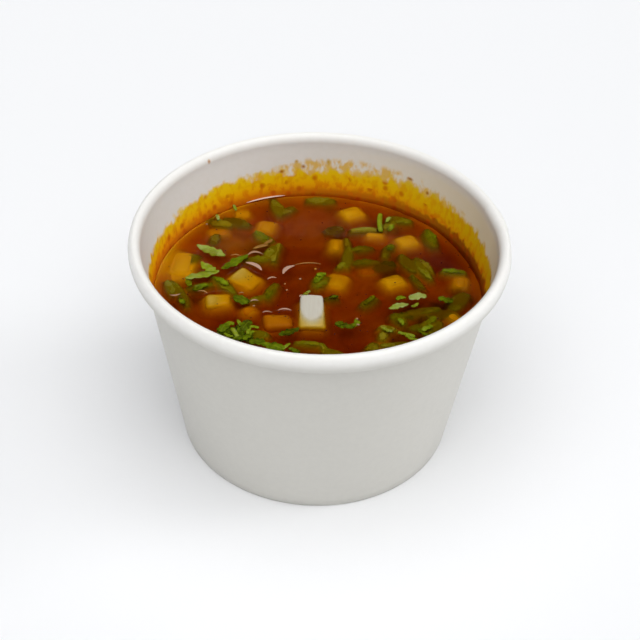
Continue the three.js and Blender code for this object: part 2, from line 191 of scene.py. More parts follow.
SUNK_BLADES = [
    ("leaf", -16.3, 12.2, 5, 6.6, 2.6, 0.2, 0.70, -1.20),
    ("lobe", -23.0, 28.8, -20, 7.5, 3.6, 0, 0.65, -1.60),
    ("leaf", -12.4, 36.0, -72, 7.6, 3.0, 0.3, 0.85, -1.20),
    ("shred", -9.6, 35.0, 40, 5.0, 2.4, 0, 0.85, -1.40),
    ("shred", -0.3, 40.0, 0, 7.4, 2.8, 0, 0.87, -1.10),
    ("lobe", 21.6, 32.0, -12, 6.4, 3.4, 0, 0.75, -1.20),
    ("stem", 11.8, 26.8, 6, 7.0, 2.0, 0.2, 1.00, -1.50),
    ("lobe", 18.5, 19.2, 60, 3.6, 2.4, 0, 0.65, -1.40),
    ("shred", 17.6, 16.4, 80, 3.0, 1.6, 0, 0.70, -1.50),
    ("leaf", 23.4, 12.8, -66, 8.4, 3.4, 0, 0.67, -1.50),
    ("leaf", 27.6, 12.0, -58, 7.6, 3.2, 0, 0.87, -1.40),
    ("lobe", 17.4, 12.0, 30, 5.6, 4.0, 0, 0.40, -2.20),
    ("shred", 27.0, -6.8, 14, 8.2, 2.8, 0, 0.55, -1.60),
    ("lobe", 20.5, -10.6, -60, 5.0, 3.2, 0, 0.50, -1.40),
    ("shred", 3.2, -3.0, 10, 3.0, 1.5, 0, 0.55, -1.50),
    ("leaf", -24.6, 0.8, -48, 9.2, 2.6, 0.3, 0.70, -1.10),
    ("shred", -15.8, -4.2, 30, 4.0, 1.6, 0, 0.70, -1.20),
    ("shred", -22.0, -19.6, 50, 3.6, 1.9, 0, 0.95, -1.00),
    ("lobe", -14.6, -18.2, -10, 4.4, 2.6, 0, 0.75, -1.00),
    ("lobe", 13.7, -22.0, 70, 3.8, 2.8, 0, 0.85, -1.30),
    ("shred", 20.2, -20.6, 8, 8.6, 2.0, 0, 0.87, -1.20),
    ("lobe", 4.2, -24.6, -20, 5.2, 2.8, 0, 0.85, -1.20),
    ("lobe", 36.2, -2.6, 60, 8.0, 4.2, 0.4, 0.60, -1.60),
    ("lobe", 30.6, -7.6, 10, 6.6, 4.0, 0, 0.55, -2.00),
    ("leaf", 22.8, -8.6, 10, 6.0, 3.0, 0, 0.45, -1.80),
    ("leaf", -33.0, 11.6, 60, 4.0, 1.8, 0, 0.75, -1.70),
    ("lobe", 3.6, 27.2, 25, 4.8, 3.6, 0, 0.87, -2.00),
    ("leaf", 29.4, -14.0, 60, 6.6, 2.8, 0, 0.55, -1.30),
    ("lobe", 25.4, -13.4, 20, 4.2, 2.8, 0, 0.50, -1.50),
    ("shred", 12.0, -26.0, -15, 6.0, 2.2, 0, 0.75, -1.20),
    ("leaf", 7.4, 14.4, 86, 9.0, 2.4, 0, 0.75, -1.20),
    ("leaf", 11.0, 18.6, 14, 6.0, 2.6, 0, 0.60, -1.60),
    ("leaf", 12.0, 12.9, 6, 7.0, 2.4, 0, 0.60, -1.60),
    ("lobe", 29.6, 23.4, -70, 6.6, 3.6, 0, 0.60, -1.60),
    ("lobe", 18.6, 29.4, 60, 4.6, 2.6, 0, 0.85, -1.00),
    ("leaf", 17.6, -14.6, -10, 3.8, 2.0, 0, 1.00, -0.80),
    ("shred", 16.6, -17.0, 75, 4.2, 1.8, 0, 1.00, -1.10),
    ("shred", 13.0, -3.8, 50, 5.0, 2.6, 0, 0.65, -1.60),
    ("lobe", -28.4, 20.8, 80, 4.4, 2.2, 0, 0.90, -1.50),
    ("leaf", -13.4, 15.4, 70, 6.0, 2.4, 0, 0.85, -1.10),
    ("lobe", -15.0, 21.6, -30, 4.8, 3.0, 0, 0.60, -1.10),
    ("leaf", -34.4, -5.0, -70, 6.4, 2.0, 0, 0.70, -1.30),
    ("leaf", -36.4, -1.0, -55, 6.4, 1.9, 0, 0.75, -1.20),
    ("shred", -30.6, 0.2, 20, 6.4, 2.2, 0, 0.60, -1.30),
    ("leaf", -12.4, -1.2, 70, 6.0, 2.2, 0, 0.60, -1.30),
    ("lobe", 0.4, 3.4, 60, 5.2, 3.2, 0, 0.67, -1.10),
]

# Scraps that crowd between the larger ones. The paler shreds on top of the front-left cluster are real
# scraps, drawn paler as painted highlight.
CROWDED_BLADES = [
    ("lobe", -22.6, -18.2, 20, 4.6, 3.2, 0, 0.02, -0.15),
    ("lobe", -19.6, -17.6, 60, 5.2, 3.6, 0, 0.02, -0.15),
    ("lobe", -18.2, -20.4, -20, 5.0, 3.2, 0, 0.02, -0.15),
    ("lobe", -23.4, -17.6, 70, 2.8, 1.9, 0, 0.22, 0.20),
    ("lobe", -22.0, -15.9, 10, 2.6, 1.8, 0, 0.35, 0.12),
    ("shred", -19.2, -15.6, -50, 2.6, 1.0, 0, 0.55, 0.22),
    ("lobe", -18.6, -17.8, 20, 2.6, 2.0, 0, 0.18, 0.15),
    ("shred", -17.0, -18.4, 80, 3.0, 1.0, 0, 0.60, 0.27),
    ("lobe", -20.0, -21.2, 0, 3.0, 2.0, 0, 0.16, 0.10),
    ("shred", -21.8, -20.4, -30, 2.4, 1.0, 0, 0.55, 0.27),
    ("lobe", -17.2, -20.6, 45, 2.8, 2.0, 0, 0.22, 0.15),
    ("lobe", -12.6, -23.4, -35, 3.0, 2.0, 0, 0.25, 0.10),
    ("shred", -15.8, -16.8, 5, 2.6, 1.0, 0, 0.50, 0.15),
    ("shred", -7.6, -23.8, 40, 2.6, 1.2, 0, 0.55, 0.17),
    ("shred", 18.4, 31.0, 70, 2.4, 1.3, 0, 0.70, 0.10),
    ("shred", -28.2, 29.4, 100, 2.8, 1.0, 0, 0.75, 0.20),
    ("shred", -23.8, 34.0, 110, 2.2, 0.9, 0, 0.70, 0.20),
    ("leaf", -25.4, 1.8, -40, 5.6, 2.0, 0.2, 0.42, -0.3),
    ("shred", -30.2, -0.6, 15, 3.6, 1.3, 0, 0.30, -0.2),
    ("shred", 0.6, 5.6, 20, 2.6, 1.3, 0, 0.45, 0.00),
    ("shred", -3.2, -2.4, 50, 2.8, 1.3, 0, 0.75, -0.30),
    ("shred", 9.6, -13.2, 80, 2.2, 0.9, 0, 0.45, 0.20),
    ("lobe", 5.4, -14.2, 40, 2.4, 1.8, 0, 0.10, 0.05),
    ("shred", 23.4, -19.0, -30, 3.4, 1.1, 0, 0.60, 0.10),
    ("lobe", 27.4, -14.8, 50, 3.4, 2.0, 0, 0.55, 0.0),
    ("shred", 21.0, -12.6, -70, 2.8, 1.2, 0, 0.55, 0.0),
]

# ---- Meshes ----


def make_piece(name, points, faces, material, stands_for, marks=None, wall_map=None, smooth=True):
    """A piece at the origin: points is an (n, 3) array in millimetres, and faces lists their numbers.

    marks holds values for each point by name: one number or three. wall_map holds a place in
    millimetres for each corner of each face.
    """
    mesh = bpy.data.meshes.new(name)
    mesh.from_pydata((np.asarray(points) * MM).tolist(), [], faces)
    for mark, values in (marks or {}).items():
        values = np.asarray(values, np.float32)
        kind, field = ("FLOAT", "value") if values.ndim == 1 else ("FLOAT_VECTOR", "vector")
        mesh.attributes.new(mark, kind, "POINT").data.foreach_set(field, values.ravel())
    if wall_map is not None:
        mesh.uv_layers.new(name="wall").data.foreach_set("uv", np.asarray(wall_map, np.float32).ravel())
    mesh.polygons.foreach_set("use_smooth", [smooth] * len(mesh.polygons))
    mesh.materials.append(material)
    mesh.update()
    mesh.validate()
    piece = bpy.data.objects.new(name, mesh)
    bpy.context.scene.collection.objects.link(piece)
    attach(piece, "root")
    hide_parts(*stands_for)


def arc(middle, half_width, half_height, start, end, steps):
    """Points of an upright ellipse's arc: middle plus half sizes times the cosine and sine."""
    angle = np.radians(np.linspace(start, end, steps + 1))
    return np.stack([middle[0] + half_width * np.cos(angle), middle[1] + half_height * np.sin(angle)], -1)


def border(rows, columns):
    """Numbers of a grid's border points, once round from its first corner along the rows' axis."""
    number = np.arange(rows * columns).reshape(rows, columns)
    return np.concatenate([number[:-1, 0], number[-1, :-1], number[:0:-1, -1], number[0, :0:-1]])


def grid_faces(rows, columns):
    """Quads of a grid, facing up where its rows run along x and its columns along y."""
    number = np.arange(rows * columns).reshape(rows, columns)
    corners = (number[:-1, :-1], number[1:, :-1], number[1:, 1:], number[:-1, 1:])
    return np.stack(corners, -1).reshape(-1, 4)


def slab_faces(rows, columns):
    """Quads of a closed slab: a top grid, the under grid numbered after it, and the rim between."""
    top = grid_faces(rows, columns)
    under = top[:, ::-1] + rows * columns
    ring = border(rows, columns)
    after = np.roll(ring, -1)
    rim = np.stack([ring + rows * columns, after + rows * columns, after, ring], -1)
    return np.concatenate([top, under, rim])


def repeated(faces, count, points_each):
    """The same faces for each of count pieces, whose points are numbered one piece after another."""
    start = np.arange(count)[:, None, None] * points_each
    return (faces[None] + start).reshape(-1, faces.shape[1]).tolist()


def disc_grid(cells):
    """A unit disc as a square grid pressed round: each square ring becomes a circle."""
    side = np.linspace(-1, 1, cells + 1)
    a, b = np.meshgrid(side, side, indexing="ij")
    wide = abs(a) >= abs(b)
    radius = np.where(wide, a, b)
    with np.errstate(divide="ignore", invalid="ignore"):
        share = np.where(wide, b / a, a / b)
    share = np.nan_to_num(share) * math.pi / 4
    angle = np.where(wide, share, math.pi / 2 - share)
    return radius * np.cos(angle), radius * np.sin(angle)


DISC_CELLS = 280  # squares across a disc: about 0.3 mm each in the broth


def disc_solid(radius, height, skirt):
    """A closed body over a disc: its top at height(x, y), then rings of (radius, z), then a middle point.

    The top's x and y are the unit disc's times radius. Each ring takes the border's directions.
    """
    unit_x, unit_y = disc_grid(DISC_CELLS)
    x, y = unit_x * radius, unit_y * radius
    rows = DISC_CELLS + 1
    ring = border(rows, rows)
    direction = np.stack([unit_x.ravel()[ring], unit_y.ravel()[ring]], -1)
    points = [np.stack([x, y, height(x, y)], -1).reshape(-1, 3)]
    quads = [grid_faces(rows, rows)]
    above = ring
    for ring_radius, z in skirt:
        level = np.full((len(ring), 1), z)
        below = np.arange(len(ring)) + sum(len(p) for p in points)
        points.append(np.concatenate([direction * ring_radius, level], -1))
        quads.append(np.stack([below, np.roll(below, -1), np.roll(above, -1), above], -1))
        above = below
    count = sum(len(p) for p in points)
    points.append(np.array([[0, 0, skirt[-1][1]]]))
    fan = np.stack([np.roll(above, -1), above, np.full(len(ring), count)], -1)
    return np.concatenate(points), np.concatenate(quads).tolist() + fan.tolist()


SWELL_WAVES = 7
SHORTEST_WAVE, LONGEST_WAVE = 0.7, 1.5  # as shares of the wavelength that is asked for


def swell(x, y, wavelength, seed):
    """Smooth unevenness, seldom past -1 or 1: some plane waves of seeded direction, phase and length."""
    draw = np.random.default_rng(seed)
    least, most = (0, 0, SHORTEST_WAVE), (2 * math.pi, 2 * math.pi, LONGEST_WAVE)
    total = 0
    for heading, phase, stretch in draw.uniform(least, most, (SWELL_WAVES, 3)):
        along = x * math.cos(heading) + y * math.sin(heading)
        total = total + np.sin(2 * math.pi * along / (wavelength * stretch) + phase)
    return total / (SWELL_WAVES / 2)


def bell(x, y, x0, y0, spread):
    """1 at its middle, and fading away from it as e to the minus square of the distance over spread."""
    return np.exp(-((x - x0) ** 2 + (y - y0) ** 2) / spread ** 2)


def smoothstep(low, high, value):
    """0 below low, 1 above high, and a smooth S between."""
    share = np.clip((value - low) / (high - low), 0, 1)
    return share * share * (3 - 2 * share)


def along_and_across(x, y, x0, y0, heading):
    """A place as its lengths along and across a thing that lies at (x0, y0), turned to its heading."""
    turn = math.radians(heading)
    along = (x - x0) * math.cos(turn) + (y - y0) * math.sin(turn)
    across = (y - y0) * math.cos(turn) - (x - x0) * math.sin(turn)
    return along, across


def laid_down(along, across, x0, y0, heading):
    """The opposite: the place, as x and y, that has these lengths along and across the thing."""
    turn = np.radians(heading)
    x = x0 + along * np.cos(turn) - across * np.sin(turn)
    y = y0 + along * np.sin(turn) + across * np.cos(turn)
    return x, y


# ---- Materials ----


def linear(colour):
    """An sRGB hex colour as linear red, green, blue and full alpha."""
    channels = [int(colour[i:i + 2], 16) / 255 for i in (1, 3, 5)]
    return [c / 12.92 if c <= 0.04045 else ((c + 0.055) / 1.055) ** 2.4 for c in channels] + [1.0]


def add_node(tree, kind, inputs=None, stops=None, out=None, **settings):
    """Adds a node with its settings and links, and gives it back, or its output that out names.

    An input is a value or another node's output. Stops of (position, colour) fill a ramp.
    """
    node = tree.nodes.new(kind)
    for key, value in settings.items():
        setattr(node, key, value)
    for key, value in (inputs or {}).items():
        if isinstance(value, bpy.types.NodeSocket):
            tree.links.new(value, node.inputs[key])
        else:
            node.inputs[key].default_value = value
    if stops:
        elements = node.color_ramp.elements
        while len(elements) < len(stops):
            elements.new(1.0)
        for element, (position, colour) in zip(elements, stops):
            element.position = position
            element.color = linear(colour)
    return node if out is None else node.outputs[out]


ATTRIBUTE = "ShaderNodeAttribute"
BUMP = "ShaderNodeBump"
COORDINATES = "ShaderNodeTexCoord"
MAPPING = "ShaderNodeMapping"
MATH = "ShaderNodeMath"
MIX = "ShaderNodeMix"
FACTOR, FIRST, SECOND, MIXED = 0, 6, 7, 2  # its colour sockets
NOISE = "ShaderNodeTexNoise"
RAMP = "ShaderNodeValToRGB"
RANGE = "ShaderNodeMapRange"
SMOOTH = {"out": 0, "interpolation_type": "SMOOTHSTEP"}
COLOUR = {"out": MIXED, "data_type": "RGBA"}
TIMES = {"out": 0, "operation": "MULTIPLY"}
TIMES_PLUS = {"out": 0, "operation": "MULTIPLY_ADD"}


def new_material(name, **values):
    """A material with a Principled shader, whose even values are set on its own sockets."""
    material = bpy.data.materials.new(name)
    material.use_nodes = True
    tree = material.node_tree
    shader = tree.nodes["Principled BSDF"]
    for key, value in values.items():
        shader.inputs[key.replace("_", " ")].default_value = value
    return material, tree, shader


FIBRE_SIZE = 1.6  # the board's mottle; real fibres are finer, and are drawn as coarse as shows
WALL_MAP_RADIUS = 43.0  # the wall map's length round is this radius times the angle
SEAM_ANGLE = 7.0  # where the board's end shows, and where the wall map begins
TUFT, SPLASH, BLOTCH, GRAIN = 2.8, 2.2, 1.8, 2.5  # sizes in the stain, in millimetres of the wall map
TUFT_RISE = 7.0  # how far, at most, the tufts move the band's edge up and down together

# Single drops and flecks on the inner wall: azimuth in degrees, height, width, length down the
# wall, colour.
FLECKS = [
    (132.7, 59.3, 0.6, 0.8, "#d09c68"),
    (57.0, 53.2, 1.2, 0.6, "#b67a1c"),
    (97.0, 51.8, 0.8, 0.8, "#c08014"),
    (99.5, 53.4, 0.7, 0.7, "#dcb04c"),
    (105.0, 50.8, 1.0, 0.7, "#bc6c08"),
    (88.0, 53.2, 0.8, 1.2, "#dcb040"),
    (49.0, 51.4, 0.7, 0.7, "#b87410"),
]


def coated_board(name, stained):
    """Bleached board, satin with its film of polyethylene, and very faintly mottled by its fibres.

    The outer face is drawn greyer, as painted shade, and the inside and the rolled rim's top paler,
    as painted light: one board in a shaded and a lit copy. Where broth has washed over the inside,
    annatto and chilli fat leaves a gold film, redder low down, with specks of ground chilli.
    """
    material, tree, shader = new_material(name, Roughness=0.42, Specular_IOR_Level=0.25)
    place = add_node(tree, COORDINATES, out="Object")
    fibres = add_node(tree, NOISE, {"Vector": place, "Scale": 1 / (FIBRE_SIZE * MM), "Detail": 4.0}, out=0)
    # The outer face's greyer colour: painted shade.
    colour = add_node(tree, RAMP, {0: fibres}, [(0.35, "#d8d6cf"), (0.65, "#dad8d1")], out=0)
    if stained:
        # The lining's paler colour, inside and over the rim's top: painted light.
        lining_painted_light = add_node(tree, RAMP, {0: fibres}, [(0.35, "#f7f6f2"), (0.65, "#f9f8f5")], out=0)
        lined_painted_light = add_node(tree, ATTRIBUTE, attribute_name="lining_painted_light", out="Fac")
        colour = add_node(tree, MIX, {FACTOR: lined_painted_light, FIRST: colour, SECOND: stain(tree, lining_painted_light)}, **COLOUR)
    tree.links.new(colour, shader.inputs["Base Color"])
    bump = add_node(tree, BUMP, {"Height": fibres, "Distance": 0.008 * MM, "Strength": 0.4}, out=0)
    tree.links.new(bump, shader.inputs["Normal"])
    return material


def fat_film(tree, wall, streaks, tufts, over_broth, shaded_wash):
    """The film's colour: red-orange where it is thick and low, gold above, and specked with chilli; on the
    wash's side its olive gold and dark brown foot are painted shade.
    """
    height = add_node(tree, RANGE, {0: over_broth, 1: 0.2, 2: 8.0}, out=0)
    film = add_node(tree, RAMP, {0: height}, [
        (0.0, "#d87404"), (0.14, "#f49e00"), (0.3, "#ffba00"),
        (0.5, "#ffcc00"), (0.8, "#ffd610"), (1.0, "#f8d840"),
    ], out=0)
    # On the wash's side the film turns olive gold: painted shade.
    shaded_side = add_node(tree, MATH, {0: shaded_wash, 1: 0.7}, **TIMES)
    # Orange blotches, which are more and stronger lower down.
    blotches = add_node(tree, NOISE, {"Vector": streaks, "Scale": 1 / BLOTCH, "Detail": 3.5}, out=0)
    blotches = add_node(tree, RANGE, {0: blotches, 1: 0.46, 2: 0.62}, **SMOOTH)
    blotched = add_node(tree, RANGE, {0: over_broth, 1: 4.0, 2: 1.0, 3: 0.32, 4: 0.80}, out=0)
    blotches = add_node(tree, MATH, {0: blotches, 1: blotched}, **TIMES)
    # A dark brown foot with an uneven top, on the side that the wash marks: painted shade of the broth's
    # shadowed edge there.
    uneven = add_node(tree, MATH, {0: tufts, 1: -4.0, 2: over_broth}, **TIMES_PLUS)
    low = add_node(tree, RANGE, {0: uneven, 1: -0.3, 2: -1.5, 4: 1.2}, **SMOOTH)
    low = add_node(tree, MATH, {0: low, 1: shaded_wash}, **TIMES)
    # Ground chilli: a speck in some of the cells, and in fewer of them higher up.
    chilli = add_node(tree, "ShaderNodeTexVoronoi", {"Vector": wall, "Scale": 1 / GRAIN})
    grain = add_node(tree, RANGE, {0: chilli.outputs["Distance"], 1: 0.5, 2: 0.12}, **SMOOTH)
    draw = add_node(tree, "ShaderNodeSeparateColor", {0: chilli.outputs["Color"]}, out=0)
    chance = add_node(tree, RANGE, {0: over_broth, 1: 1.0, 2: 7.0, 3: 0.35, 4: 0.8}, out=0)
    chosen = add_node(tree, MATH, {0: draw, 1: chance}, operation="GREATER_THAN", out=0)
    grain = add_node(tree, MATH, {0: grain, 1: chosen}, **TIMES)
    grain = add_node(tree, MATH, {0: grain, 1: 0.7}, **TIMES)
    for share, shade in ((shaded_side, "#d8aa04"), (blotches, "#e47a00"), (low, "#8a3a04"), (grain, "#c85000")):
        film = add_node(tree, MIX, {FACTOR: share, FIRST: film, SECOND: linear(shade)}, **COLOUR)
    return film


def stain(tree, board):
    """The stained band's colour over the board's, from the wall map and the marks on the wall's points."""
    wall = add_node(tree, "ShaderNodeUVMap", uv_map="wall", out=0)
    over_band, over_splash, over_broth, shaded_wash = (
        add_node(tree, ATTRIBUTE, attribute_name=name, out="Fac")
        for name in ("over_band", "over_splash", "over_broth", "shaded_wash")
    )
    # The band's edge is moved up and down by tufts.
    upright = add_node(tree, MAPPING, {"Vector": wall, "Scale": (1.0, 0.75, 1.0)}, out=0)
    tufts = add_node(tree, NOISE, {"Vector": upright, "Scale": 1 / TUFT, "Detail": 2.0}, out=0)
    moved = add_node(tree, MATH, {0: tufts, 1: TUFT_RISE, 2: -TUFT_RISE / 2}, **TIMES_PLUS)
    edge = add_node(tree, MATH, {0: over_band, 1: moved}, out=0)
    band = add_node(tree, RANGE, {0: edge, 1: 1.2, 2: -1.1}, **SMOOTH)
    # The splashes over it are upright streaks, and thin out upwards.
    streaks = add_node(tree, MAPPING, {"Vector": wall, "Scale": (1.0, 0.6, 1.0)}, out=0)
    spots = add_node(tree, NOISE, {"Vector": streaks, "Scale": 1 / SPLASH, "Detail": 2.5}, out=0)
    thin = add_node(tree, MATH, {0: over_splash, 1: -0.035, 2: -0.535}, **TIMES_PLUS)
    spots = add_node(tree, MATH, {0: spots, 1: thin}, out=0)
    spots = add_node(tree, RANGE, {0: spots, 1: -0.10, 2: 0.14, 4: 0.85}, **SMOOTH)
    below = add_node(tree, RANGE, {0: over_splash, 1: 0.8, 2: -1.2}, **SMOOTH)
    spots = add_node(tree, MATH, {0: spots, 1: below}, **TIMES)

    film = fat_film(tree, wall, streaks, tufts, over_broth, shaded_wash)
    colour = board
    # The wash yellows the board: a thin fat stain, and painted shade of the right inner wall.
    for share, over in ((shaded_wash, linear("#f4e4b8")), (spots, linear("#f0c030")), (band, film)):
        colour = add_node(tree, MIX, {FACTOR: share, FIRST: colour, SECOND: over}, **COLOUR)
    for azimuth, height, width, length, shade in FLECKS:
        place = (math.radians(azimuth - SEAM_ANGLE) * WALL_MAP_RADIUS, height, 0.0)
        sizes = {"Vector": wall, "Location": place, "Scale": (width, length, 1.0)}
        off = add_node(tree, MAPPING, sizes, vector_type="TEXTURE", out=0)
        far = add_node(tree, "ShaderNodeVectorMath", {0: off}, operation="LENGTH", out="Value")
        fleck = add_node(tree, RANGE, {0: far, 1: 1.2, 2: 0.0}, **SMOOTH)
        colour = add_node(tree, MIX, {FACTOR: fleck, FIRST: colour, SECOND: linear(shade)}, **COLOUR)
    return colour


BROTH_IOR = 1.14  # lower than water's 1.33, because the photo shows next to no haze from reflections
BROTH_TINT = (0.889, 0.760, 0.02, 1.0)  # red, green and blue; what is short of 1 is taken by depth
BROTH_DENSITY = 1500.0  # per metre


def clear_broth():
    """Strained chilli broth: clear, thin as water, and amber to red-brown with depth.

    Its colour is all in the absorption, which takes blue first, then green, and little red.
    """
    material, tree, shader = new_material(
        "clear_chilli_broth",
        Transmission_Weight=1.0, Roughness=0.1, IOR=BROTH_IOR, Base_Color=linear("#ffffff"),
    )
    tint = {"Color": BROTH_TINT, "Density": BROTH_DENSITY}
    absorb = add_node(tree, "ShaderNodeVolumeAbsorption", tint, out=0)
    tree.links.new(absorb, tree.nodes["Material Output"].inputs["Volume"])
    return material


CLOUD_SIZE = 6.0  # of the bed's lighter and darker clouds


def murk():
    """Settled solids and emulsified fat in the broth: a soft cloudy bed.

    Spice and fat turn it orange and chopped herbs turn it olive; round each piece of onion under the skin it
    is painted onion-yellow, a painted glow that also softens the piece's outline.
    """
    material, tree, shader = new_material("cloudy_broth_solids", Roughness=0.8, Specular_IOR_Level=0.1)
    place = add_node(tree, COORDINATES, out="Object")
    clouds = add_node(tree, NOISE, {"Vector": place, "Scale": 1 / (CLOUD_SIZE * MM), "Detail": 5.0}, out=0)
    stops = [(0.30, "#dcb870"), (0.52, "#eed084"), (0.72, "#f6de92")]
    colour = add_node(tree, RAMP, {0: clouds}, stops, out=0)
    # Round each piece of onion the bed is painted onion-yellow: a painted glow.
    for name, shade in (("spice", "#f0ae4c"), ("painted_onion_glow", "#eaca3b"), ("herb", "#7c8019")):
        near = add_node(tree, ATTRIBUTE, attribute_name=name, out="Fac")
        colour = add_node(tree, MIX, {FACTOR: near, FIRST: colour, SECOND: linear(shade)}, **COLOUR)
    tree.links.new(colour, shader.inputs["Base Color"])
    return material


ONION_FIBRES = 2.2  # a millimetre across the piece; real ones are finer, and are drawn as coarse as shows


def onion_flesh():
    """Raw white onion, wet: translucent, with long fibres. Soaked parts are yellow from the fat."""
    material, tree, shader = new_material(
        "wet_white_onion", Roughness=0.28, IOR=1.38, Specular_IOR_Level=0.2, Subsurface_Weight=0.15,
        Subsurface_Radius=(1.0, 0.8, 0.5), Subsurface_Scale=0.8 * MM,
    )
    fibre = add_node(tree, ATTRIBUTE, attribute_name="fibre", out="Vector")
    fine = {"Vector": fibre, "Scale": ONION_FIBRES, "Detail": 4.0, "Roughness": 0.55}
    lines = add_node(tree, NOISE, fine, out=0)
    soak = add_node(tree, ATTRIBUTE, attribute_name="soak", out="Fac")
    colour = add_node(tree, RAMP, {0: soak}, [
        (0.0, "#c2beb2"), (0.15, "#d2bd88"), (0.3, "#c8ae62"),
        (0.5, "#ebca3d"), (0.75, "#dca030"), (1.0, "#c08218"),
    ], out=0)
    shade = add_node(tree, RANGE, {0: lines, 1: 0.3, 2: 0.7, 4: 0.08}, **SMOOTH)
    colour = add_node(tree, MIX, {FACTOR: shade, FIRST: colour, SECOND: linear("#8a6a30")}, **COLOUR)
    tree.links.new(colour, shader.inputs["Base Color"])
    bump = add_node(tree, BUMP, {"Height": lines, "Distance": 0.02 * MM, "Strength": 0.5}, out=0)
    tree.links.new(bump, shader.inputs["Normal"])
    return material


LEAF_MOTTLE = 1.3  # size of the uneven patches on a leaf
VEIN_SLANT = -1.1  # how far the side veins run back as they leave the midrib
VEIN_PAIRS = 5.0


def cilantro_leaf():
    """Chopped cilantro, wet: a thin soft leaf, satin, mottled in its green, and paler along its veins."""
    material, tree, shader = new_material(
        "wet_cilantro_leaf", Roughness=0.42, IOR=1.4, Specular_IOR_Level=0.06,
    )
    leaf = add_node(tree, ATTRIBUTE, attribute_name="leaf", out="Vector")
    along, across, tone = add_node(tree, "ShaderNodeSeparateXYZ", {"Vector": leaf}).outputs
    off_middle = add_node(tree, MATH, {0: across}, operation="ABSOLUTE", out=0)
    midrib = add_node(tree, RANGE, {0: off_middle, 1: 0.16, 2: 0.02}, **SMOOTH)
    back = add_node(tree, MATH, {0: off_middle, 1: VEIN_SLANT}, **TIMES)
    slant = add_node(tree, MATH, {0: along, 1: VEIN_PAIRS, 2: back}, **TIMES_PLUS)
    turns = add_node(tree, MATH, {0: slant, 1: 0.5}, operation="PINGPONG", out=0)
    side_vein = add_node(tree, RANGE, {0: turns, 1: 0.09, 2: 0.01, 4: 0.6}, **SMOOTH)
    vein = add_node(tree, MATH, {0: midrib, 1: side_vein}, operation="MAXIMUM", out=0)
    place = add_node(tree, COORDINATES, out="Object")
    mottle = add_node(tree, NOISE, {"Vector": place, "Scale": 1 / (LEAF_MOTTLE * MM), "Detail": 3.0}, out=0)
    uneven = add_node(tree, MATH, {0: mottle, 1: 0.8, 2: -0.4}, **TIMES_PLUS)
    shade = add_node(tree, MATH, {0: tone, 1: uneven}, out=0)
    colour = add_node(tree, RAMP, {0: shade}, [
        (0.0, "#363e00"), (0.2, "#506000"), (0.4, "#687804"),
        (0.6, "#7a8816"), (0.8, "#8a9646"), (1.0, "#9ca466"),
    ], out=0)
    pale = add_node(tree, MATH, {0: vein, 1: 0.25}, **TIMES)
    colour = add_node(tree, MIX, {FACTOR: pale, FIRST: colour, SECOND: linear("#98a428")}, **COLOUR)
    tree.links.new(colour, shader.inputs["Base Color"])
    bump = add_node(tree, BUMP, {"Height": vein, "Distance": 0.08 * MM, "Strength": 0.6}, out=0)
    tree.links.new(bump, shader.inputs["Normal"])
    return material


def fat_froth_and_painted_highlights():
    """Beads and thin ridges of fat, fine bubbles, and pale crescents of painted highlight on the skin: smooth
    and wet, from amber to a greyish pink.
    """
    material, tree, shader = new_material("amber_fat_froth_and_painted_highlights", Roughness=0.3, IOR=1.4)
    tone = add_node(tree, ATTRIBUTE, attribute_name="tone", out="Fac")
    # The pale greyish-pink tones are painted highlights and reflections of the skin.
    colour = add_node(tree, RAMP, {0: tone}, [
        (0.0, "#8a4a0a"), (0.4, "#a8761c"), (0.6, "#9c7658"), (0.9, "#b4907e"), (1.0, "#e2c8b8"),
    ], out=0)
    tree.links.new(colour, shader.inputs["Base Color"])
    return material


CUP_WALL_BOARD = coated_board("polyethylene_coated_board", stained=True)
CUP_BASE_BOARD = coated_board("polyethylene_coated_base_board", stained=False)
BROTH_CLEAR = clear_broth()
BROTH_MURK = murk()
ONION = onion_flesh()
CILANTRO = cilantro_leaf()
FAT_FROTH_AND_PAINTED_HIGHLIGHTS = fat_froth_and_painted_highlights()
# Dried chilli, ground: dull dark brown-red flecks.
CHILLI, _, _ = new_material("ground_dried_chilli", Roughness=0.6, Base_Color=linear("#4a1602"))

# ---- The cup ----

ROLL_RADIUS = RIM_RADIUS - ROLL_WIDTH / 2  # from the axis to the middle of the roll
# Over the roll's top the paler lining colour, painted light, takes over from the outer face's greyer one,
# painted shade.
ROLL_BLEND = 1.5  # the height, either side of the roll's middle, over which the lining takes over
OUTSIDE, ROLL, INSIDE = 0, 1, 2  # which part of the outline a point is on
SEAM_OVERLAP = 12.0  # degrees of double board
SEAM_STEP = 0.22  # how far the doubled board swells a face
SEAM_EDGE = 0.35  # degrees over which the board's end steps down
SEAM_FADE = 5.0  # degrees over which the layer below it rises
SEAM_SLICES = np.array([0.12, 0.25, 0.4, 0.55])  # degrees from a board's end where the wall is cut finer
SEAM_FOOT = (0.5, 3.0)  # heights between which the seam begins to swell the outside
SEAM_DIP = 4.0  # how far under the broth's level it begins to swell the inside
SEAM_PAST_RIM = 0.1  # how far, at most, it stands out past the rim
WALL_SLICES = 384
STAIN_FOOT = 0.6  # how far over the broth's level the film's own colours begin
# The wash at the right is a thin stain of fat and also painted shade: it yellows the inner wall on the side
# that the key light leaves in shade.
SHADED_WASH_AZIMUTH, SHADED_WASH_SPREAD, SHADED_WASH_STRENGTH = 10, 58, 0.75  # the pale wash at the right
SHADED_WASH_BARE, SHADED_WASH_FULL = 60, 56  # heights between which it fades in, downwards
BASE_BEVEL = (0.2, 0.05)  # width and height under the base's edge


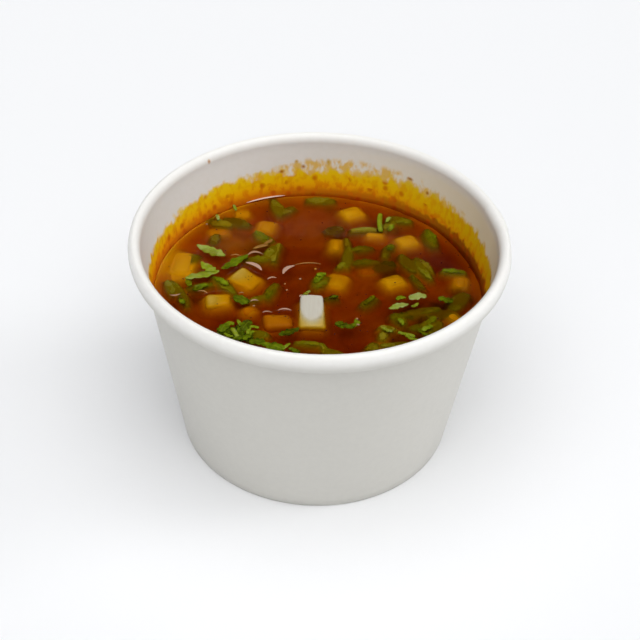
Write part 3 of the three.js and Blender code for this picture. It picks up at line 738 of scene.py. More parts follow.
def seam_swell(azimuth, start, end, cut_first):
    """Swelling by the doubled board between two azimuths: a sharp step at its cut end, and a slow fade."""
    cut, fade = (start, end) if cut_first else (end, start)
    way = 1 if cut_first else -1
    step = smoothstep(0, SEAM_EDGE, (azimuth - cut) * way)
    return SEAM_STEP * step * smoothstep(0, SEAM_FADE, (fade - azimuth) * way)


def band_top(azimuth):
    """Height of the gold band's top, in millimetres, as it runs round the wall."""
    turns = [-100, -30, 0, 20, 40, 60, 80, 100, 125, 150, 178, 200, 260]
    heights = [45.6, 49.8, 51.2, 51.3, 51.7, 51.4, 50.3, 50.5, 50.9, 50.3, 49.5, 48.6, 45.6]
    return np.interp(azimuth, turns, heights)


def splash_top(azimuth):
    """Height that the splashes over the band reach, which is most at the back right."""
    turns = [-100, -30, 0, 30, 50, 75, 98, 112, 260]
    heights = [46.0, 48.0, 50.0, 52.0, 54.2, 54.4, 54.0, 51.6, 46.0]
    return np.interp(azimuth, turns, heights)


def wall_outline():
    """The wall's closed outline as radius and height, and which part of it each point is on.

    It climbs the outside, rolls over the rim as ellipses, comes down the inside, and returns
    through the folded foot, whose edges are round.
    """
    roll_middle = (ROLL_RADIUS, ROLL_MIDDLE)
    inner_reach = ROLL_RADIUS - inner_radius(ROLL_MIDDLE)
    tail_top = ROLL_MIDDLE + ROLL_HEIGHT / 2 * math.sin(math.radians(ROLL_TAIL_ANGLE)) + FOLD_RADIUS
    fold = 2 * FOLD_RADIUS
    up = np.linspace(fold, tail_top, 24)
    down = np.linspace(ROLL_MIDDLE, FOOT_HEIGHT, 28)[1:]
    parts = [
        (OUTSIDE, arc((outer_radius(0.0) - fold, fold), fold, fold, -90, -8, 6)),
        (OUTSIDE, np.stack([outer_radius(up), up], -1)),
        (ROLL, arc(roll_middle, ROLL_WIDTH / 2, ROLL_HEIGHT / 2, ROLL_TAIL_ANGLE, 90, 40)),
        (ROLL, arc(roll_middle, inner_reach, ROLL_HEIGHT / 2, 90, 180, 16)[1:]),
        (INSIDE, np.stack([inner_radius(down), down], -1)),
        (OUTSIDE, np.array([[outer_radius(FOOT_HEIGHT) - FOOT_THICKNESS, FOOT_HEIGHT]])),
        (OUTSIDE, np.array([[outer_radius(fold) - FOOT_THICKNESS, fold]])),
        (OUTSIDE, arc((outer_radius(0.0) - FOOT_THICKNESS + fold, fold), fold, fold, 180, 262, 6)),
    ]
    outline = np.concatenate([points for _, points in parts])
    region = np.concatenate([np.full(len(points), kind) for kind, points in parts])
    return outline, region


def wall_faces(rows, columns):
    """Quads of a grid that closes both ways: each face's corners as rows and columns, and as numbers."""
    i, j = np.meshgrid(np.arange(rows), np.arange(columns), indexing="ij")
    corner_rows = np.stack([i, i + 1, i + 1, i], -1).reshape(-1, 4)
    corner_columns = np.stack([j, j, j + 1, j + 1], -1).reshape(-1, 4)
    return corner_rows, corner_columns, (corner_rows % rows) * columns + corner_columns % columns


def paper_wall():
    """The wall: its outline turned round the axis, a little swollen at the side seam's doubled board.

    The wall map is the length round and the height, which goes on upwards where the outside goes
    down.
    """
    outline, region = wall_outline()
    roll_painted_light = (region == ROLL) * smoothstep(ROLL_MIDDLE - ROLL_BLEND, ROLL_MIDDLE + ROLL_BLEND, outline[:, 1])
    is_inside = (region == INSIDE) | ((region == ROLL) & (outline[:, 0] < ROLL_RADIUS))
    even = np.linspace(SEAM_ANGLE, SEAM_ANGLE + 360, WALL_SLICES + 1)[:-1]
    second_end = SEAM_ANGLE + SEAM_OVERLAP
    at_seam = np.concatenate([SEAM_ANGLE + SEAM_SLICES, second_end - SEAM_SLICES, [second_end]])
    azimuth = np.union1d(even, at_seam)
    turn = np.radians(azimuth)[:, None]
    radius, z = outline.T[:, None]
    wrapped = (azimuth - SEAM_ANGLE)[:, None]
    outside_swell = seam_swell(wrapped, 0, SEAM_OVERLAP, True) * smoothstep(*SEAM_FOOT, z)
    outside_swell = np.minimum(outside_swell, RIM_RADIUS + SEAM_PAST_RIM - radius)
    inside_swell = seam_swell(wrapped, 0, SEAM_OVERLAP, False)
    inside_swell = inside_swell * smoothstep(BROTH_LEVEL - SEAM_DIP, BROTH_LEVEL, z)
    radius = radius + np.where(is_inside, -inside_swell, outside_swell)
    points = np.stack([radius * np.cos(turn), radius * np.sin(turn), z + 0 * turn], -1)

    corner_rows, corner_columns, faces = wall_faces(len(azimuth), len(outline))
    length_round = np.radians(np.append(azimuth, SEAM_ANGLE + 360) - SEAM_ANGLE) * WALL_MAP_RADIUS
    map_height = np.where(is_inside, z[0], 2 * CUP_HEIGHT - z[0])
    heights = np.append(map_height, map_height[0])
    wall_map = np.stack([length_round[corner_rows], heights[corner_columns]], -1)

    centred = ((azimuth + 100) % 360 - 100)[:, None]
    # The wash: a thin fat stain, and painted shade of the right inner wall.
    shaded_wash = SHADED_WASH_STRENGTH * np.exp(-((centred - SHADED_WASH_AZIMUTH) / SHADED_WASH_SPREAD) ** 2)
    marks = {
        "over_band": map_height - band_top(centred),
        "over_splash": map_height - splash_top(centred),
        "over_broth": map_height - BROTH_LEVEL - STAIN_FOOT + 0 * turn,
        # The lining mark: where the paler colour, painted light, is drawn.
        "lining_painted_light": np.where(is_inside, 1, roll_painted_light) + 0 * z * turn,
        "shaded_wash": shaded_wash * is_inside * smoothstep(SHADED_WASH_BARE, SHADED_WASH_FULL, z),
    }
    marks = {name: values.ravel() for name, values in marks.items()}
    make_piece(
        "paper_wall", points.reshape(-1, 3), faces.tolist(), CUP_WALL_BOARD, ["cup_wall"],
        marks, wall_map,
    )


def paper_base():
    """The base: a flat disc, set in above the foot and finely bevelled under its edge."""
    radius = inner_radius(BASE_BOTTOM) - GAP
    inset, rise = BASE_BEVEL
    skirt = [(radius, BASE_BOTTOM + rise), (radius - inset, BASE_BOTTOM)]
    points, faces = disc_solid(radius, lambda x, y: BASE_TOP + 0 * x, skirt)
    make_piece("paper_base", points, faces, CUP_BASE_BOARD, ["cup_base"], smooth=False)


paper_wall()
paper_base()

# ---- The broth's skin ----

DRAWN_MENISCUS_RISE = 0.2  # the drawn climb at the wall is lower and steeper than the solid's
DRAWN_MENISCUS_DECAY = 0.35  # the distance over which it falls to about a third
LEAF_CLIMB = 0.12  # how high the broth climbs at a floating leaf
LEAF_CLIMB_REACH = 0.45  # the distance over which it falls to about a third
LEAF_CLIMB_FROM = -0.3  # the lift up to which a leaf leaves the skin flat
DICE_CLIMB = 0.3
DICE_CLIMB_REACH = 0.6
DICE_CLIMB_INSET = 0.5  # how far inside a piece's outline the climb begins to fall
RIPPLE = 0.022  # of the still skin
FINE_RIPPLE = 0.4  # the finer ripple's share of the broad one
BLADE_TIP = 0.05  # the share of the sine that is left out at each end, so that ends are blunt
TOOTHLESS = 0.85  # the share of a blade's half width that its teeth leave
DICE_GAP_CORNER = 1.6  # rounding, seen from above, of what is reckoned round a piece of onion
CORNER_SHARE = 0.45  # the most that this rounding takes of a side


def taper(share, point):
    """A blade's half width, as a share of its most, by the share of the way along: a sine to a power."""
    return np.sin(math.pi * (BLADE_TIP + (1 - 2 * BLADE_TIP) * share)) ** point


def blade_gap(x, y, kind, x0, y0, heading, length, width, bow):
    """Distance outside a blade's toothless outline."""
    along, across = along_and_across(x, y, x0, y0, heading)
    share = np.clip(2 * along / length, -1, 1)
    half = width / 2 * taper((share + 1) / 2, KINDS[kind][0])
    across = across - bow * (1 - share ** 2)
    over_length = np.maximum(abs(along) - length / 2, 0)
    return np.hypot(over_length, np.maximum(abs(across) - TOOTHLESS * half, 0))


def dice_gap(x, y, x0, y0, heading, length, width, inset):
    """Distance outside a turned rectangle with round corners, which lies inset in the piece's outline."""
    along, across = along_and_across(x, y, x0, y0, heading)
    corner = min(DICE_GAP_CORNER, CORNER_SHARE * length, CORNER_SHARE * width)
    over_length = np.maximum(abs(along) - length / 2 + corner, 0)
    over_width = np.maximum(abs(across) - width / 2 + corner, 0)
    return np.maximum(np.hypot(over_length, over_width) - corner + inset, 0)


def climb(x, y):
    """The broth's climb to floating leaves and onion: it fades with the distance outside each of them."""
    most = np.zeros_like(x)
    for *outline, _, lift in FLOATING_BLADES + SKIN_FLAKES:
        if lift > LEAF_CLIMB_FROM:
            most = np.maximum(most, LEAF_CLIMB * np.exp(-blade_gap(x, y, *outline) / LEAF_CLIMB_REACH))
    for x0, y0, _, heading, _, length, width, _, _ in FLOATING_DICE:
        gap = dice_gap(x, y, x0, y0, heading, length, width, DICE_CLIMB_INSET)
        most = np.maximum(most, DICE_CLIMB * np.exp(-gap / DICE_CLIMB_REACH))
    return most


def broth_skin(x, y):
    """Height of the broth's skin: its level, the climb at the wall, at what floats, and small unevenness."""
    crest = inner_radius(BROTH_LEVEL + DRAWN_MENISCUS_RISE)
    wall = DRAWN_MENISCUS_RISE * np.exp(-(crest - np.hypot(x, y)) / DRAWN_MENISCUS_DECAY)
    ripple = RIPPLE * (swell(x, y, 13, seed=3) + FINE_RIPPLE * swell(x, y, 5, seed=4))
    return BROTH_LEVEL + wall + climb(x, y) + ripple


# ---- The cloudy bed ----

# Where the cloudy solids come nearer the skin, or sink: x, y, spread, rise.
SHOALS = [
    (-39, 9, 8.5, 2.3),
    (-36, 23, 7, 0.5),
    (-22, 30, 9, 0.6),
    (-21, -12, 5.5, -1.1),
    (-33, -8, 4, 0.6),
    (-12, -6, 9, -0.3),
    (12, 6, 8, 0.5),
    (22, 24, 6, 0.6),
    (35, 17, 8, -1.0),
    (4, -20, 11, -0.5),
    (-6, 12, 7, -0.3),
    (-22, 19, 6, 1.1),
    (-25.5, 19, 3.5, 0.45),
    (34, 4, 5, 0.4),
]

# Where spice colours the bed, and where finely chopped herbs do: x, y, spread, strength.
SPICE_CLOUDS = [(-37, 17, 11, 1.0), (-30, 27, 8, 0.7), (0, 38, 7, 0.5), (-20, 31, 7, 0.5)]
HERB_CLOUDS = [
    (18, 12, 4.5, 0.9),
    (24, 14, 6, 0.6),
    (24, -8, 5.5, 0.9),
    (32, -6, 5.5, 0.8),
    (37, 0, 4, 0.7),
    (-24, 25, 5, 0.35),
    (-26, 18, 4.5, 0.45),
    (-15.5, 18, 4.5, 0.8),
    (-11, 36, 4, 0.5),
    (2, 39, 4, 0.4),
    (20, 31, 5, 0.6),
    (4, 27, 4, 0.7),
    (7, 16, 5, 0.5),
    (-33, -4, 5, 0.5),
    (22, -18, 6, 0.6),
    (-2, -24, 7, 0.5),
]

BED_DEPTH = 3.8  # under the broth's level, where nothing raises the bed
BROAD_SWELL, FINE_SWELL = 0.25, 0.15
PATCH = (-10.5, 5.5, 20.5, 41.0)  # a film of fat that reads lighter: its left, right, near and far ends
PATCH_RISE = 0.5
PATCH_EDGE, PATCH_NEAR_EDGE = 2.0, 0.5  # half the width of its soft edges; the near one is straight
WALL_SHOAL = 0.78  # the share of the depth that is lost at the wall
WALL_SHOAL_LEAN = 0.15  # how much more of it is lost at the left, and less at the right
WALL_SHOAL_REACH = 1.5
MEETING = 0.25  # the roundness, in millimetres, where two slopes of the bed meet
SOAK_SINK = 0.45  # how much lower a soaked piece of onion lies than its solid
ONION_SLOPE = 1.2  # how fast the cloud round a piece of onion sinks away from it
ONION_SOFTNESS = 0.8  # the way, in millimetres, over which that slope begins
ONION_CLOUD_INSET = 0.9  # how far inside a piece's outline the cloud begins to sink
# The cloud's onion-yellow round a piece is a painted glow.
ONION_CLOUD_REACH = 2.2  # how far from a piece the cloud is still coloured by it
ONION_CLOUD_BELOW = 0.05  # how far under a piece's top the cloud begins
ONION_SHALLOWEST = 1.5  # how near to the skin the cloud comes at a white piece
SHALLOWER_IF_SOAKED = 1.6  # how much nearer it may come at one stained through
SOAKED_DARK = 0.9  # the soak above which a piece is so dark that the cloud round it lies deeper
DEEPER_IF_DARK = 1.5
BLADE_SLOPE = 2.0  # the same for the cloud round a blade
BLADE_SOFTNESS = 0.4
BLADE_CLOUD_REACH = 1.0
BLADE_CLOUD_BELOW = 0.05
BLADE_SHALLOWEST = 0.8
SUNK_BLADE_CLOUD_BELOW = -0.15  # the cloud covers all but the ridges of a blade that is wholly sunk
HERB_PATCHINESS = 0.5
HERB_MOST = 0.9  # the most that herb clouds colour the bed, away from the blades themselves
SPICE_REACH = 2.5  # how far in from the wall spice colours the bed
WALL_BITE = 0.06  # how far the broth reaches into the board, so that no gap shows
CLEAR_RINGS = (DRAWN_MENISCUS_RISE - 0.1, -2.0, -6.0)  # its side's heights over the level; the last is sunk
BED_EDGE, BED_RING = -1.0, -1.5  # heights over the level for the bed's edge, and its side's first ring


def rounded_least(first, second):
    """The smaller of two heights, rounded where they meet."""
    return -MEETING * np.logaddexp(-first / MEETING, -second / MEETING)


def soft_slope(gap, steepness, softness):
    """A slope that begins as a parabola and goes on straight."""
    return steepness * (np.hypot(gap, softness) - softness)


def open_depth(x, y, edge):
    """Depth of the bed where nothing is sunk: swells, bells, a film patch, and a shoal at the wall."""
    depth = BED_DEPTH + BROAD_SWELL * swell(x, y, 16, seed=7) + FINE_SWELL * swell(x, y, 5, seed=8)
    for x0, y0, spread, rise in SHOALS:
        depth = depth - rise * bell(x, y, x0, y0, spread)
    left, right, near, far = PATCH
    patch = smoothstep(left - PATCH_EDGE, left + PATCH_EDGE, x)
    patch = patch * smoothstep(right + PATCH_EDGE, right - PATCH_EDGE, x)
    patch = patch * smoothstep(near - PATCH_NEAR_EDGE, near + PATCH_NEAR_EDGE, y)
    patch = patch * smoothstep(far + PATCH_EDGE, far - PATCH_EDGE, y)
    shoal = WALL_SHOAL - WALL_SHOAL_LEAN * x / RIM_RADIUS
    return (depth - PATCH_RISE * patch) * (1 - shoal * np.exp(-edge / WALL_SHOAL_REACH))


def bed_at_onion(x, y, depth):
    """The depth with the bed sloping up to each piece of onion, and how near one is, from 0 to 1."""
    # near: the strength of the painted glow round the nearest piece of onion.
    near = np.zeros_like(x)
    for x0, y0, rise, heading, _, length, width, _, soak in SUNK_DICE + FLOATING_DICE:
        gap = dice_gap(x, y, x0, y0, heading, length, width, ONION_CLOUD_INSET)
        top = max(SOAK_SINK * soak - rise + ONION_CLOUD_BELOW, ONION_SHALLOWEST - SHALLOWER_IF_SOAKED * soak)
        top = top + DEEPER_IF_DARK * (soak > SOAKED_DARK)
        depth = rounded_least(depth, top + soft_slope(gap, ONION_SLOPE, ONION_SOFTNESS))
        near = np.maximum(near, np.exp(-(gap / ONION_CLOUD_REACH) ** 2))
    return depth, near


def bed_at_blades(x, y, depth):
    """The depth with the bed sloping up to each blade under the skin, and how green it is, from 0 to 1."""
    herb = sum(strength * bell(x, y, x0, y0, spread) for x0, y0, spread, strength in HERB_CLOUDS)
    herb = np.clip(herb * (1 + HERB_PATCHINESS * swell(x, y, 6, seed=11)), 0, HERB_MOST)
    for number, (*outline, _, lift) in enumerate(SUNK_BLADES + FLOATING_BLADES):
        if lift > LEAF_CLIMB_FROM:
            continue
        gap = blade_gap(x, y, *outline)
        below = SUNK_BLADE_CLOUD_BELOW if number < len(SUNK_BLADES) else BLADE_CLOUD_BELOW
        top = max(below - lift, BLADE_SHALLOWEST)
        depth = rounded_least(depth, top + soft_slope(gap, BLADE_SLOPE, BLADE_SOFTNESS))
        herb = np.maximum(herb, np.exp(-(gap / BLADE_CLOUD_REACH) ** 2))
    return depth, herb


def broth_bed(x, y):
    """Height of the cloudy bed, and how far spice and herbs colour it and the onion's painted glow lights it,
    from 0 to 1.

    It slopes up to what is sunk in it, so that the outlines of sunk things are soft.
    """
    edge = inner_radius(BROTH_LEVEL) - np.hypot(x, y)
    depth, onion = bed_at_onion(x, y, open_depth(x, y, edge))
    depth, herb = bed_at_blades(x, y, depth)
    spice = np.exp(-edge / SPICE_REACH)
    for x0, y0, spread, strength in SPICE_CLOUDS:
        spice = np.maximum(spice, strength * bell(x, y, x0, y0, spread))
    return BROTH_LEVEL - depth, {"spice": spice, "painted_onion_glow": onion, "herb": herb}


def wall_reach(z):
    """Radius of the broth's bodies, which bite into the wall."""
    return inner_radius(z) + WALL_BITE


def broth():
    """Two bodies: the clear upper broth, whose underside is sunk in the cloudy bed, and that bed."""
    skirt = [(wall_reach(BROTH_LEVEL + over), BROTH_LEVEL + over) for over in CLEAR_RINGS]
    points, faces = disc_solid(wall_reach(BROTH_LEVEL + DRAWN_MENISCUS_RISE), broth_skin, skirt)
    make_piece("clear_broth", points, faces, BROTH_CLEAR, ["broth"])
    skirt = [(wall_reach(z), z) for z in (BROTH_LEVEL + BED_RING, BASE_TOP + GAP)]
    edge = wall_reach(BROTH_LEVEL + BED_EDGE)
    points, faces = disc_solid(edge, lambda x, y: broth_bed(x, y)[0], skirt)
    marks = broth_bed(points[:, 0], points[:, 1])[1]
    make_piece("cloudy_broth", points, faces, BROTH_MURK, ["broth"], marks)


broth()

# ---- Cilantro ----

BLADE_ROWS = 41
BLADE_COLUMNS = 11
LOBE_DEPTH = 1.1  # the drawn lobes are this much deeper than the solids' teeth
LOBE_ROUNDNESS = 0.8  # below 1 the lobes are broad, and the cuts between them narrow
OUTLINE_UNEVENNESS = 0.24  # of the half width
LEAF_HALF_WAVES = 1.5  # of the ripple, along a leaf
LEAF_EDGE_THINNING = 0.9  # the share of its squared thickness that a blade loses at its edges
CREASE_DEPTH = 0.10  # along a leaf's midrib
CREASE_WIDTH = 0.25  # as a share of the half width
LEAF_ROLL = 10.0  # most degrees that a drawn leaf leans about its length


def toothed(u, v, tooth, teeth, x0):
    """What teeth and unevenness leave of a blade's half width, at u of the way along and v across.

    The teeth are arches of a sine, staggered on the two sides. The unevenness is a product of two
    sines whose waves fit no whole number of times, so that no two sides are alike.
    """
    phase = teeth * u + np.where(v > 0, 0.5, 0)
    notch = LOBE_DEPTH * tooth * (1 - abs(np.sin(math.pi * phase)) ** LOBE_ROUNDNESS) * v ** 2
    side = np.sign(v) * 1.7 + x0
    uneven = OUTLINE_UNEVENNESS * np.sin(5.1 * u + side) * np.sin(9.3 * u + 2.3 * side) * v ** 2
    return 1 - notch + np.where(tooth > 0, uneven, 0)


def blades(name, rows, stands_for):
    """Leaves and stems on one mesh, all worked out at once.

    A blade's half width is half its width times a sine of the way along, raised to its point, less
    its teeth. It lies along its heading and bows sideways as a parabola. Its height ripples as a
    sine, and its two faces lie a half thickness over and under, thinning to the edges as a circle.
    """
    shape = np.array([KINDS[row[0]] for row in rows], float)[:, :, None, None]
    point, tooth, teeth = shape[:, 0], shape[:, 1], shape[:, 2]
    place = np.array([row[1:] for row in rows], float)[:, :, None, None]
    x0, y0, heading, length, width, bow, tone, lift = (place[:, k] for k in range(8))
    u = np.linspace(0, 1, BLADE_ROWS)[None, :, None]
    v = np.sin(np.linspace(-math.pi / 2, math.pi / 2, BLADE_COLUMNS))[None, None, :]
    half_width = width / 2 * taper(u, point) * toothed(u, v, tooth, teeth, x0)
    along = 2 * u - 1
    across = v * half_width + bow * (1 - along ** 2)
    x, y = laid_down(along * length / 2, across, x0, y0, heading)
    # The ripple's phase and the lean come from the blade's place, so that each has its own.
    ripple = LEAF_WAVE * np.sin(math.pi * (LEAF_HALF_WAVES * u + x0 / length)) * (1 - LEAF_EDGE_CALM * v ** 2)
    crease = np.where(tooth > 0, -CREASE_DEPTH * np.exp(-(v / CREASE_WIDTH) ** 2), 0)
    lean = np.tan(np.radians(LEAF_ROLL * np.sin(3.7 * x0 + y0))) * v * half_width
    middle = BROTH_LEVEL + lift + ripple + crease + lean
    thickness = np.where(tooth > 0, LEAF_THICKNESS, STEM_ROUNDNESS * width)
    half = thickness / 2 * np.sqrt(1 - LEAF_EDGE_THINNING * v ** 2)
    z = np.stack([middle + half, middle - half], 1)
    points, leaf = (
        np.stack([np.broadcast_to(a, z.shape) for a in values], -1).reshape(-1, 3)
        for values in ((x[:, None], y[:, None], z), (u[:, None], v[:, None], tone[:, None]))
    )
    quads = slab_faces(BLADE_ROWS, BLADE_COLUMNS)
    faces = repeated(quads, len(rows), 2 * BLADE_ROWS * BLADE_COLUMNS)
    make_piece(name, points, faces, CILANTRO, stands_for, {"leaf": leaf})


sprig_nodes = sorted(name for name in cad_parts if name.startswith("cilantro_"))
blades("floating_cilantro", FLOATING_BLADES, sprig_nodes)
blades("skin_flakes", SKIN_FLAKES, ["broth"])
blades("sunk_cilantro", SUNK_BLADES, ["broth"])
blades("crowded_cilantro", CROWDED_BLADES, ["broth"])

# ---- Froth, and painted highlights on the skin ----

# Crescents and beads of froth and fat on the skin, the paler crescents painted highlights of its menisci: two
# ends, sag between, half width, lift, tone.
FROTH_AND_PAINTED_HIGHLIGHTS = [
    ((-19.4, 9.6), (-15.0, 6.4), 0.8, 0.60, 0.10, 0.88),
    ((-9.4, 5.2), (-6.5, 8.9), 0.8, 0.60, 0.10, 0.86),
    ((-6.6, 9.1), (0.4, 9.9), 0.7, 0.13, 0.08, 0.45),
    ((-13.4, 2.6), (-11.0, 3.4), 0.6, 0.28, 0.10, 0.70),
    ((-17.3, -6.6), (-15.2, -6.3), 0.5, 0.22, 0.10, 0.75),
    ((-14.0, -10.9), (-11.6, -10.9), 0.5, 0.20, 0.10, 0.80),
    ((-10.2, -9.9), (-6.6, -9.8), 0.7, 0.24, 0.10, 0.85),
    ((-19.2, 12.4), (-15.0, 13.4), 1.5, 0.40, 0.08, 0.62),
    ((-17.8, 16.2), (-13.8, 18.2), 0.3, 0.60, -0.50, 0.75),
    ((-15.0, 18.6), (-12.8, 20.8), -0.2, 0.55, -0.50, 0.65),
    ((-23.4, 12.2), (-21.0, 12.2), 0.7, 0.16, 0.08, 0.45),
    ((-31.0, -3.2), (-28.2, -4.4), 0.8, 0.18, 0.10, 0.50),
    ((-38.0, -5.0), (-35.2, -4.4), -0.4, 0.28, 0.08, 0.65),
    ((-20.8, 36.4), (-10.2, 40.6), 0.55, 0.26, 0.25, 1.00),
    ((-5.2, 3.2), (-4.5, 3.4), 0.0, 0.34, 0.10, 0.60),
    ((-9.0, 0.9), (-8.5, 1.1), 0.0, 0.22, 0.10, 0.50),
    ((-8.4, -1.7), (-7.8, -1.5), 0.1, 0.22, 0.10, 0.55),
    ((-1.3, 7.6), (-0.7, 7.9), 0.0, 0.36, 0.10, 0.40),
    ((-20.4, -3.6), (-19.0, -3.4), 0.4, 0.14, 0.10, 0.50),
    ((-16.6, -8.4), (-15.9, -8.3), 0.0, 0.24, 0.10, 0.55),
    ((9.6, -12.2), (10.2, -12.4), 0.0, 0.32, 0.20, 0.56),
    ((9.7, -14.5), (10.6, -14.7), 0.0, 0.30, 0.20, 0.60),
    ((-31.2, 26.0), (-30.6, 26.1), 0.0, 0.26, 0.10, 0.60),
    ((-4.8, -4.2), (-4.0, -3.4), 0.2, 0.24, 0.15, 0.80),
]
CRESCENT_HEIGHT = 0.16
CRESCENT_ROWS, CRESCENT_COLUMNS = 21, 7
CRESCENT_TIP = 0.02  # the least of the sine at a crescent's ends, so that they have some width
CRESCENT_EDGE_THINNING = 0.95  # the same for froth


def froth_and_painted_highlights():
    """Crescents on one mesh: each runs along a parabola, and is domed across and pointed at its ends.

    A point is start + u (end - start) + 4 sag u (1 - u) across, then v times the half width times
    the square root of sin(pi u) further across; its height is a half ellipse of v.
    """
    table = np.array([(*start, *end, *rest) for start, end, *rest in FROTH_AND_PAINTED_HIGHLIGHTS])[:, :, None, None]
    x0, y0, x1, y1, sag, half_width, lift, tone = (table[:, k] for k in range(8))
    u = np.linspace(0, 1, CRESCENT_ROWS)[None, :, None]
    v = np.sin(np.linspace(-math.pi / 2, math.pi / 2, CRESCENT_COLUMNS))[None, None, :]
    length = np.hypot(x1 - x0, y1 - y0)
    thick = half_width * np.maximum(np.sin(math.pi * u), CRESCENT_TIP) ** 0.5
    across = 4 * sag * u * (1 - u) + v * thick
    x = x0 + u * (x1 - x0) - across * (y1 - y0) / length
    y = y0 + u * (y1 - y0) + across * (x1 - x0) / length
    dome = CRESCENT_HEIGHT * np.sqrt(1 - CRESCENT_EDGE_THINNING * v ** 2) * (thick / half_width)
    z = BROTH_LEVEL + lift[:, None] + np.stack([dome, -dome], 1)
    points = np.stack([*(np.broadcast_to(a[:, None], z.shape) for a in (x, y)), z], -1)
    quads = slab_faces(CRESCENT_ROWS, CRESCENT_COLUMNS)
    faces = repeated(quads, len(FROTH_AND_PAINTED_HIGHLIGHTS), 2 * CRESCENT_ROWS * CRESCENT_COLUMNS)
    marks = {"tone": np.broadcast_to(tone[:, None], z.shape).ravel()}
    make_piece("froth_and_painted_highlights", points.reshape(-1, 3), faces, FAT_FROTH_AND_PAINTED_HIGHLIGHTS, ["broth"], marks)


froth_and_painted_highlights()

# ---- Ground chilli ----

SPECK_COUNT = 170
SPECK_SIDES = 6
SPECK_REACH = 41  # from the axis
SPECK_SIZES = (0.10, 0.26)
SPECK_RAGGEDNESS = (0.6, 1.2)  # least and most of its size at a corner
SPECK_HALF_THICKNESS = 0.06
NESTS = [(-18.2, 3.0, 1.4), (-8.2, -13.0, 1.2), (-0.6, 7.4, 1.6), (9.8, -13.4, 1.6)]  # x, y, spread
NEST_SIZE = 6  # specks in each nest


def chilli_specks():
    """Flat six-sided flecks on the skin: a ring of seeded radii, with a point over and under its middle."""
    draw = np.random.default_rng(31)
    angle = draw.uniform(0, 2 * math.pi, SPECK_COUNT)
    reach = SPECK_REACH * np.sqrt(draw.uniform(0, 1, SPECK_COUNT))
    x, y = reach * np.cos(angle), reach * np.sin(angle)
    for number, (x0, y0, spread) in enumerate(NESTS):
        nest = slice(number * NEST_SIZE, (number + 1) * NEST_SIZE)
        x[nest] = x0 + draw.normal(0, spread / 2, NEST_SIZE)
        y[nest] = y0 + draw.normal(0, spread / 2, NEST_SIZE)
    size = draw.uniform(*SPECK_SIZES, (SPECK_COUNT, 1))
    around = np.linspace(0, 2 * math.pi, SPECK_SIDES, endpoint=False) + draw.uniform(0, 1, (SPECK_COUNT, 1))
    radius = size * draw.uniform(*SPECK_RAGGEDNESS, (SPECK_COUNT, SPECK_SIDES))
    middle = np.stack([x, y, broth_skin(x, y)], -1)[:, None]
    ring = middle + np.stack([radius * np.cos(around), radius * np.sin(around), 0 * radius], -1)
    upward = np.array([0, 0, SPECK_HALF_THICKNESS])
    points = np.concatenate([ring, middle + upward, middle - upward], 1)
    side = np.arange(SPECK_SIDES)
    after = (side + 1) % SPECK_SIDES
    upper = np.stack([side, after, np.full_like(side, SPECK_SIDES)], -1)
    lower = np.stack([after, side, np.full_like(side, SPECK_SIDES + 1)], -1)
    faces = repeated(np.concatenate([upper, lower]), SPECK_COUNT, SPECK_SIDES + 2)
    make_piece("chilli_specks", points.reshape(-1, 3), faces, CHILLI, ["broth"])


chilli_specks()

# ---- Onion ----

DICE_CELLS = 18
FRESH_CORNER = 0.8  # rounding radius of a white piece
SOAKED_ROUNDING = 2.4  # how much more a piece stained through is rounded
CORNER_MOST = 0.9  # of half the piece's shortest side
DICE_SKEW = 0.12  # the most that a side leans, as a slope
LAYER_GROOVE = 0.07  # depth of the grooves between an onion's layers, at a cut side
GROOVE_WAVES, GROOVE_PHASE = 9, 1.5  # radians over a piece's height
GROOVED_FROM, GROOVED_FULLY = 0.86, 0.98  # shares of the half length
FIBRE_STRETCH = 0.12  # how much a length along a piece counts in the fibres' pattern, which draws it out
FIBRE_APART = 17.0  # how far the pieces lie from each other in that pattern
WET_TO, WET_FROM = 0.45, -0.8  # heights over the level between which the broth has wetted a piece
WET_SOAK = 0.5


def cube_surface(cells):
    """Points and quads of a cube from -1 to 1, each side a grid, welded along the cube's edges."""
    side = np.linspace(-1, 1, cells + 1)
    a, b = np.meshgrid(side, side, indexing="ij")
    points, quads = [], []
    faces = grid_faces(cells + 1, cells + 1)
    for axis in range(3):
        for end in (-1, 1):
            sheet = np.empty((a.size, 3))
            sheet[:, axis] = end
            sheet[:, (axis + 1) % 3] = a.ravel()
            sheet[:, (axis + 2) % 3] = b.ravel()
            quads.append((faces if end > 0 else faces[:, ::-1]) + len(points) * a.size)
            points.append(sheet)
    points = np.concatenate(points)
    welded, number = np.unique(np.round(points * cells).astype(int), axis=0, return_inverse=True)
    return welded / cells, number.ravel()[np.concatenate(quads)]


def rounded_boxes(cube, half, soak):
    """The cube's points stretched to boxes of these half sizes, and pulled to a radius from their cores.

    The radius is larger for a soaked piece.
    """
    most = CORNER_MOST * half.min(axis=2, keepdims=True)
    corner = np.minimum(FRESH_CORNER + SOAKED_ROUNDING * soak[:, None], most)
    shell = cube * half
    core = np.clip(shell, corner - half, half - corner)
    away = shell - core
    return core + corner * away / np.linalg.norm(away, axis=-1, keepdims=True)


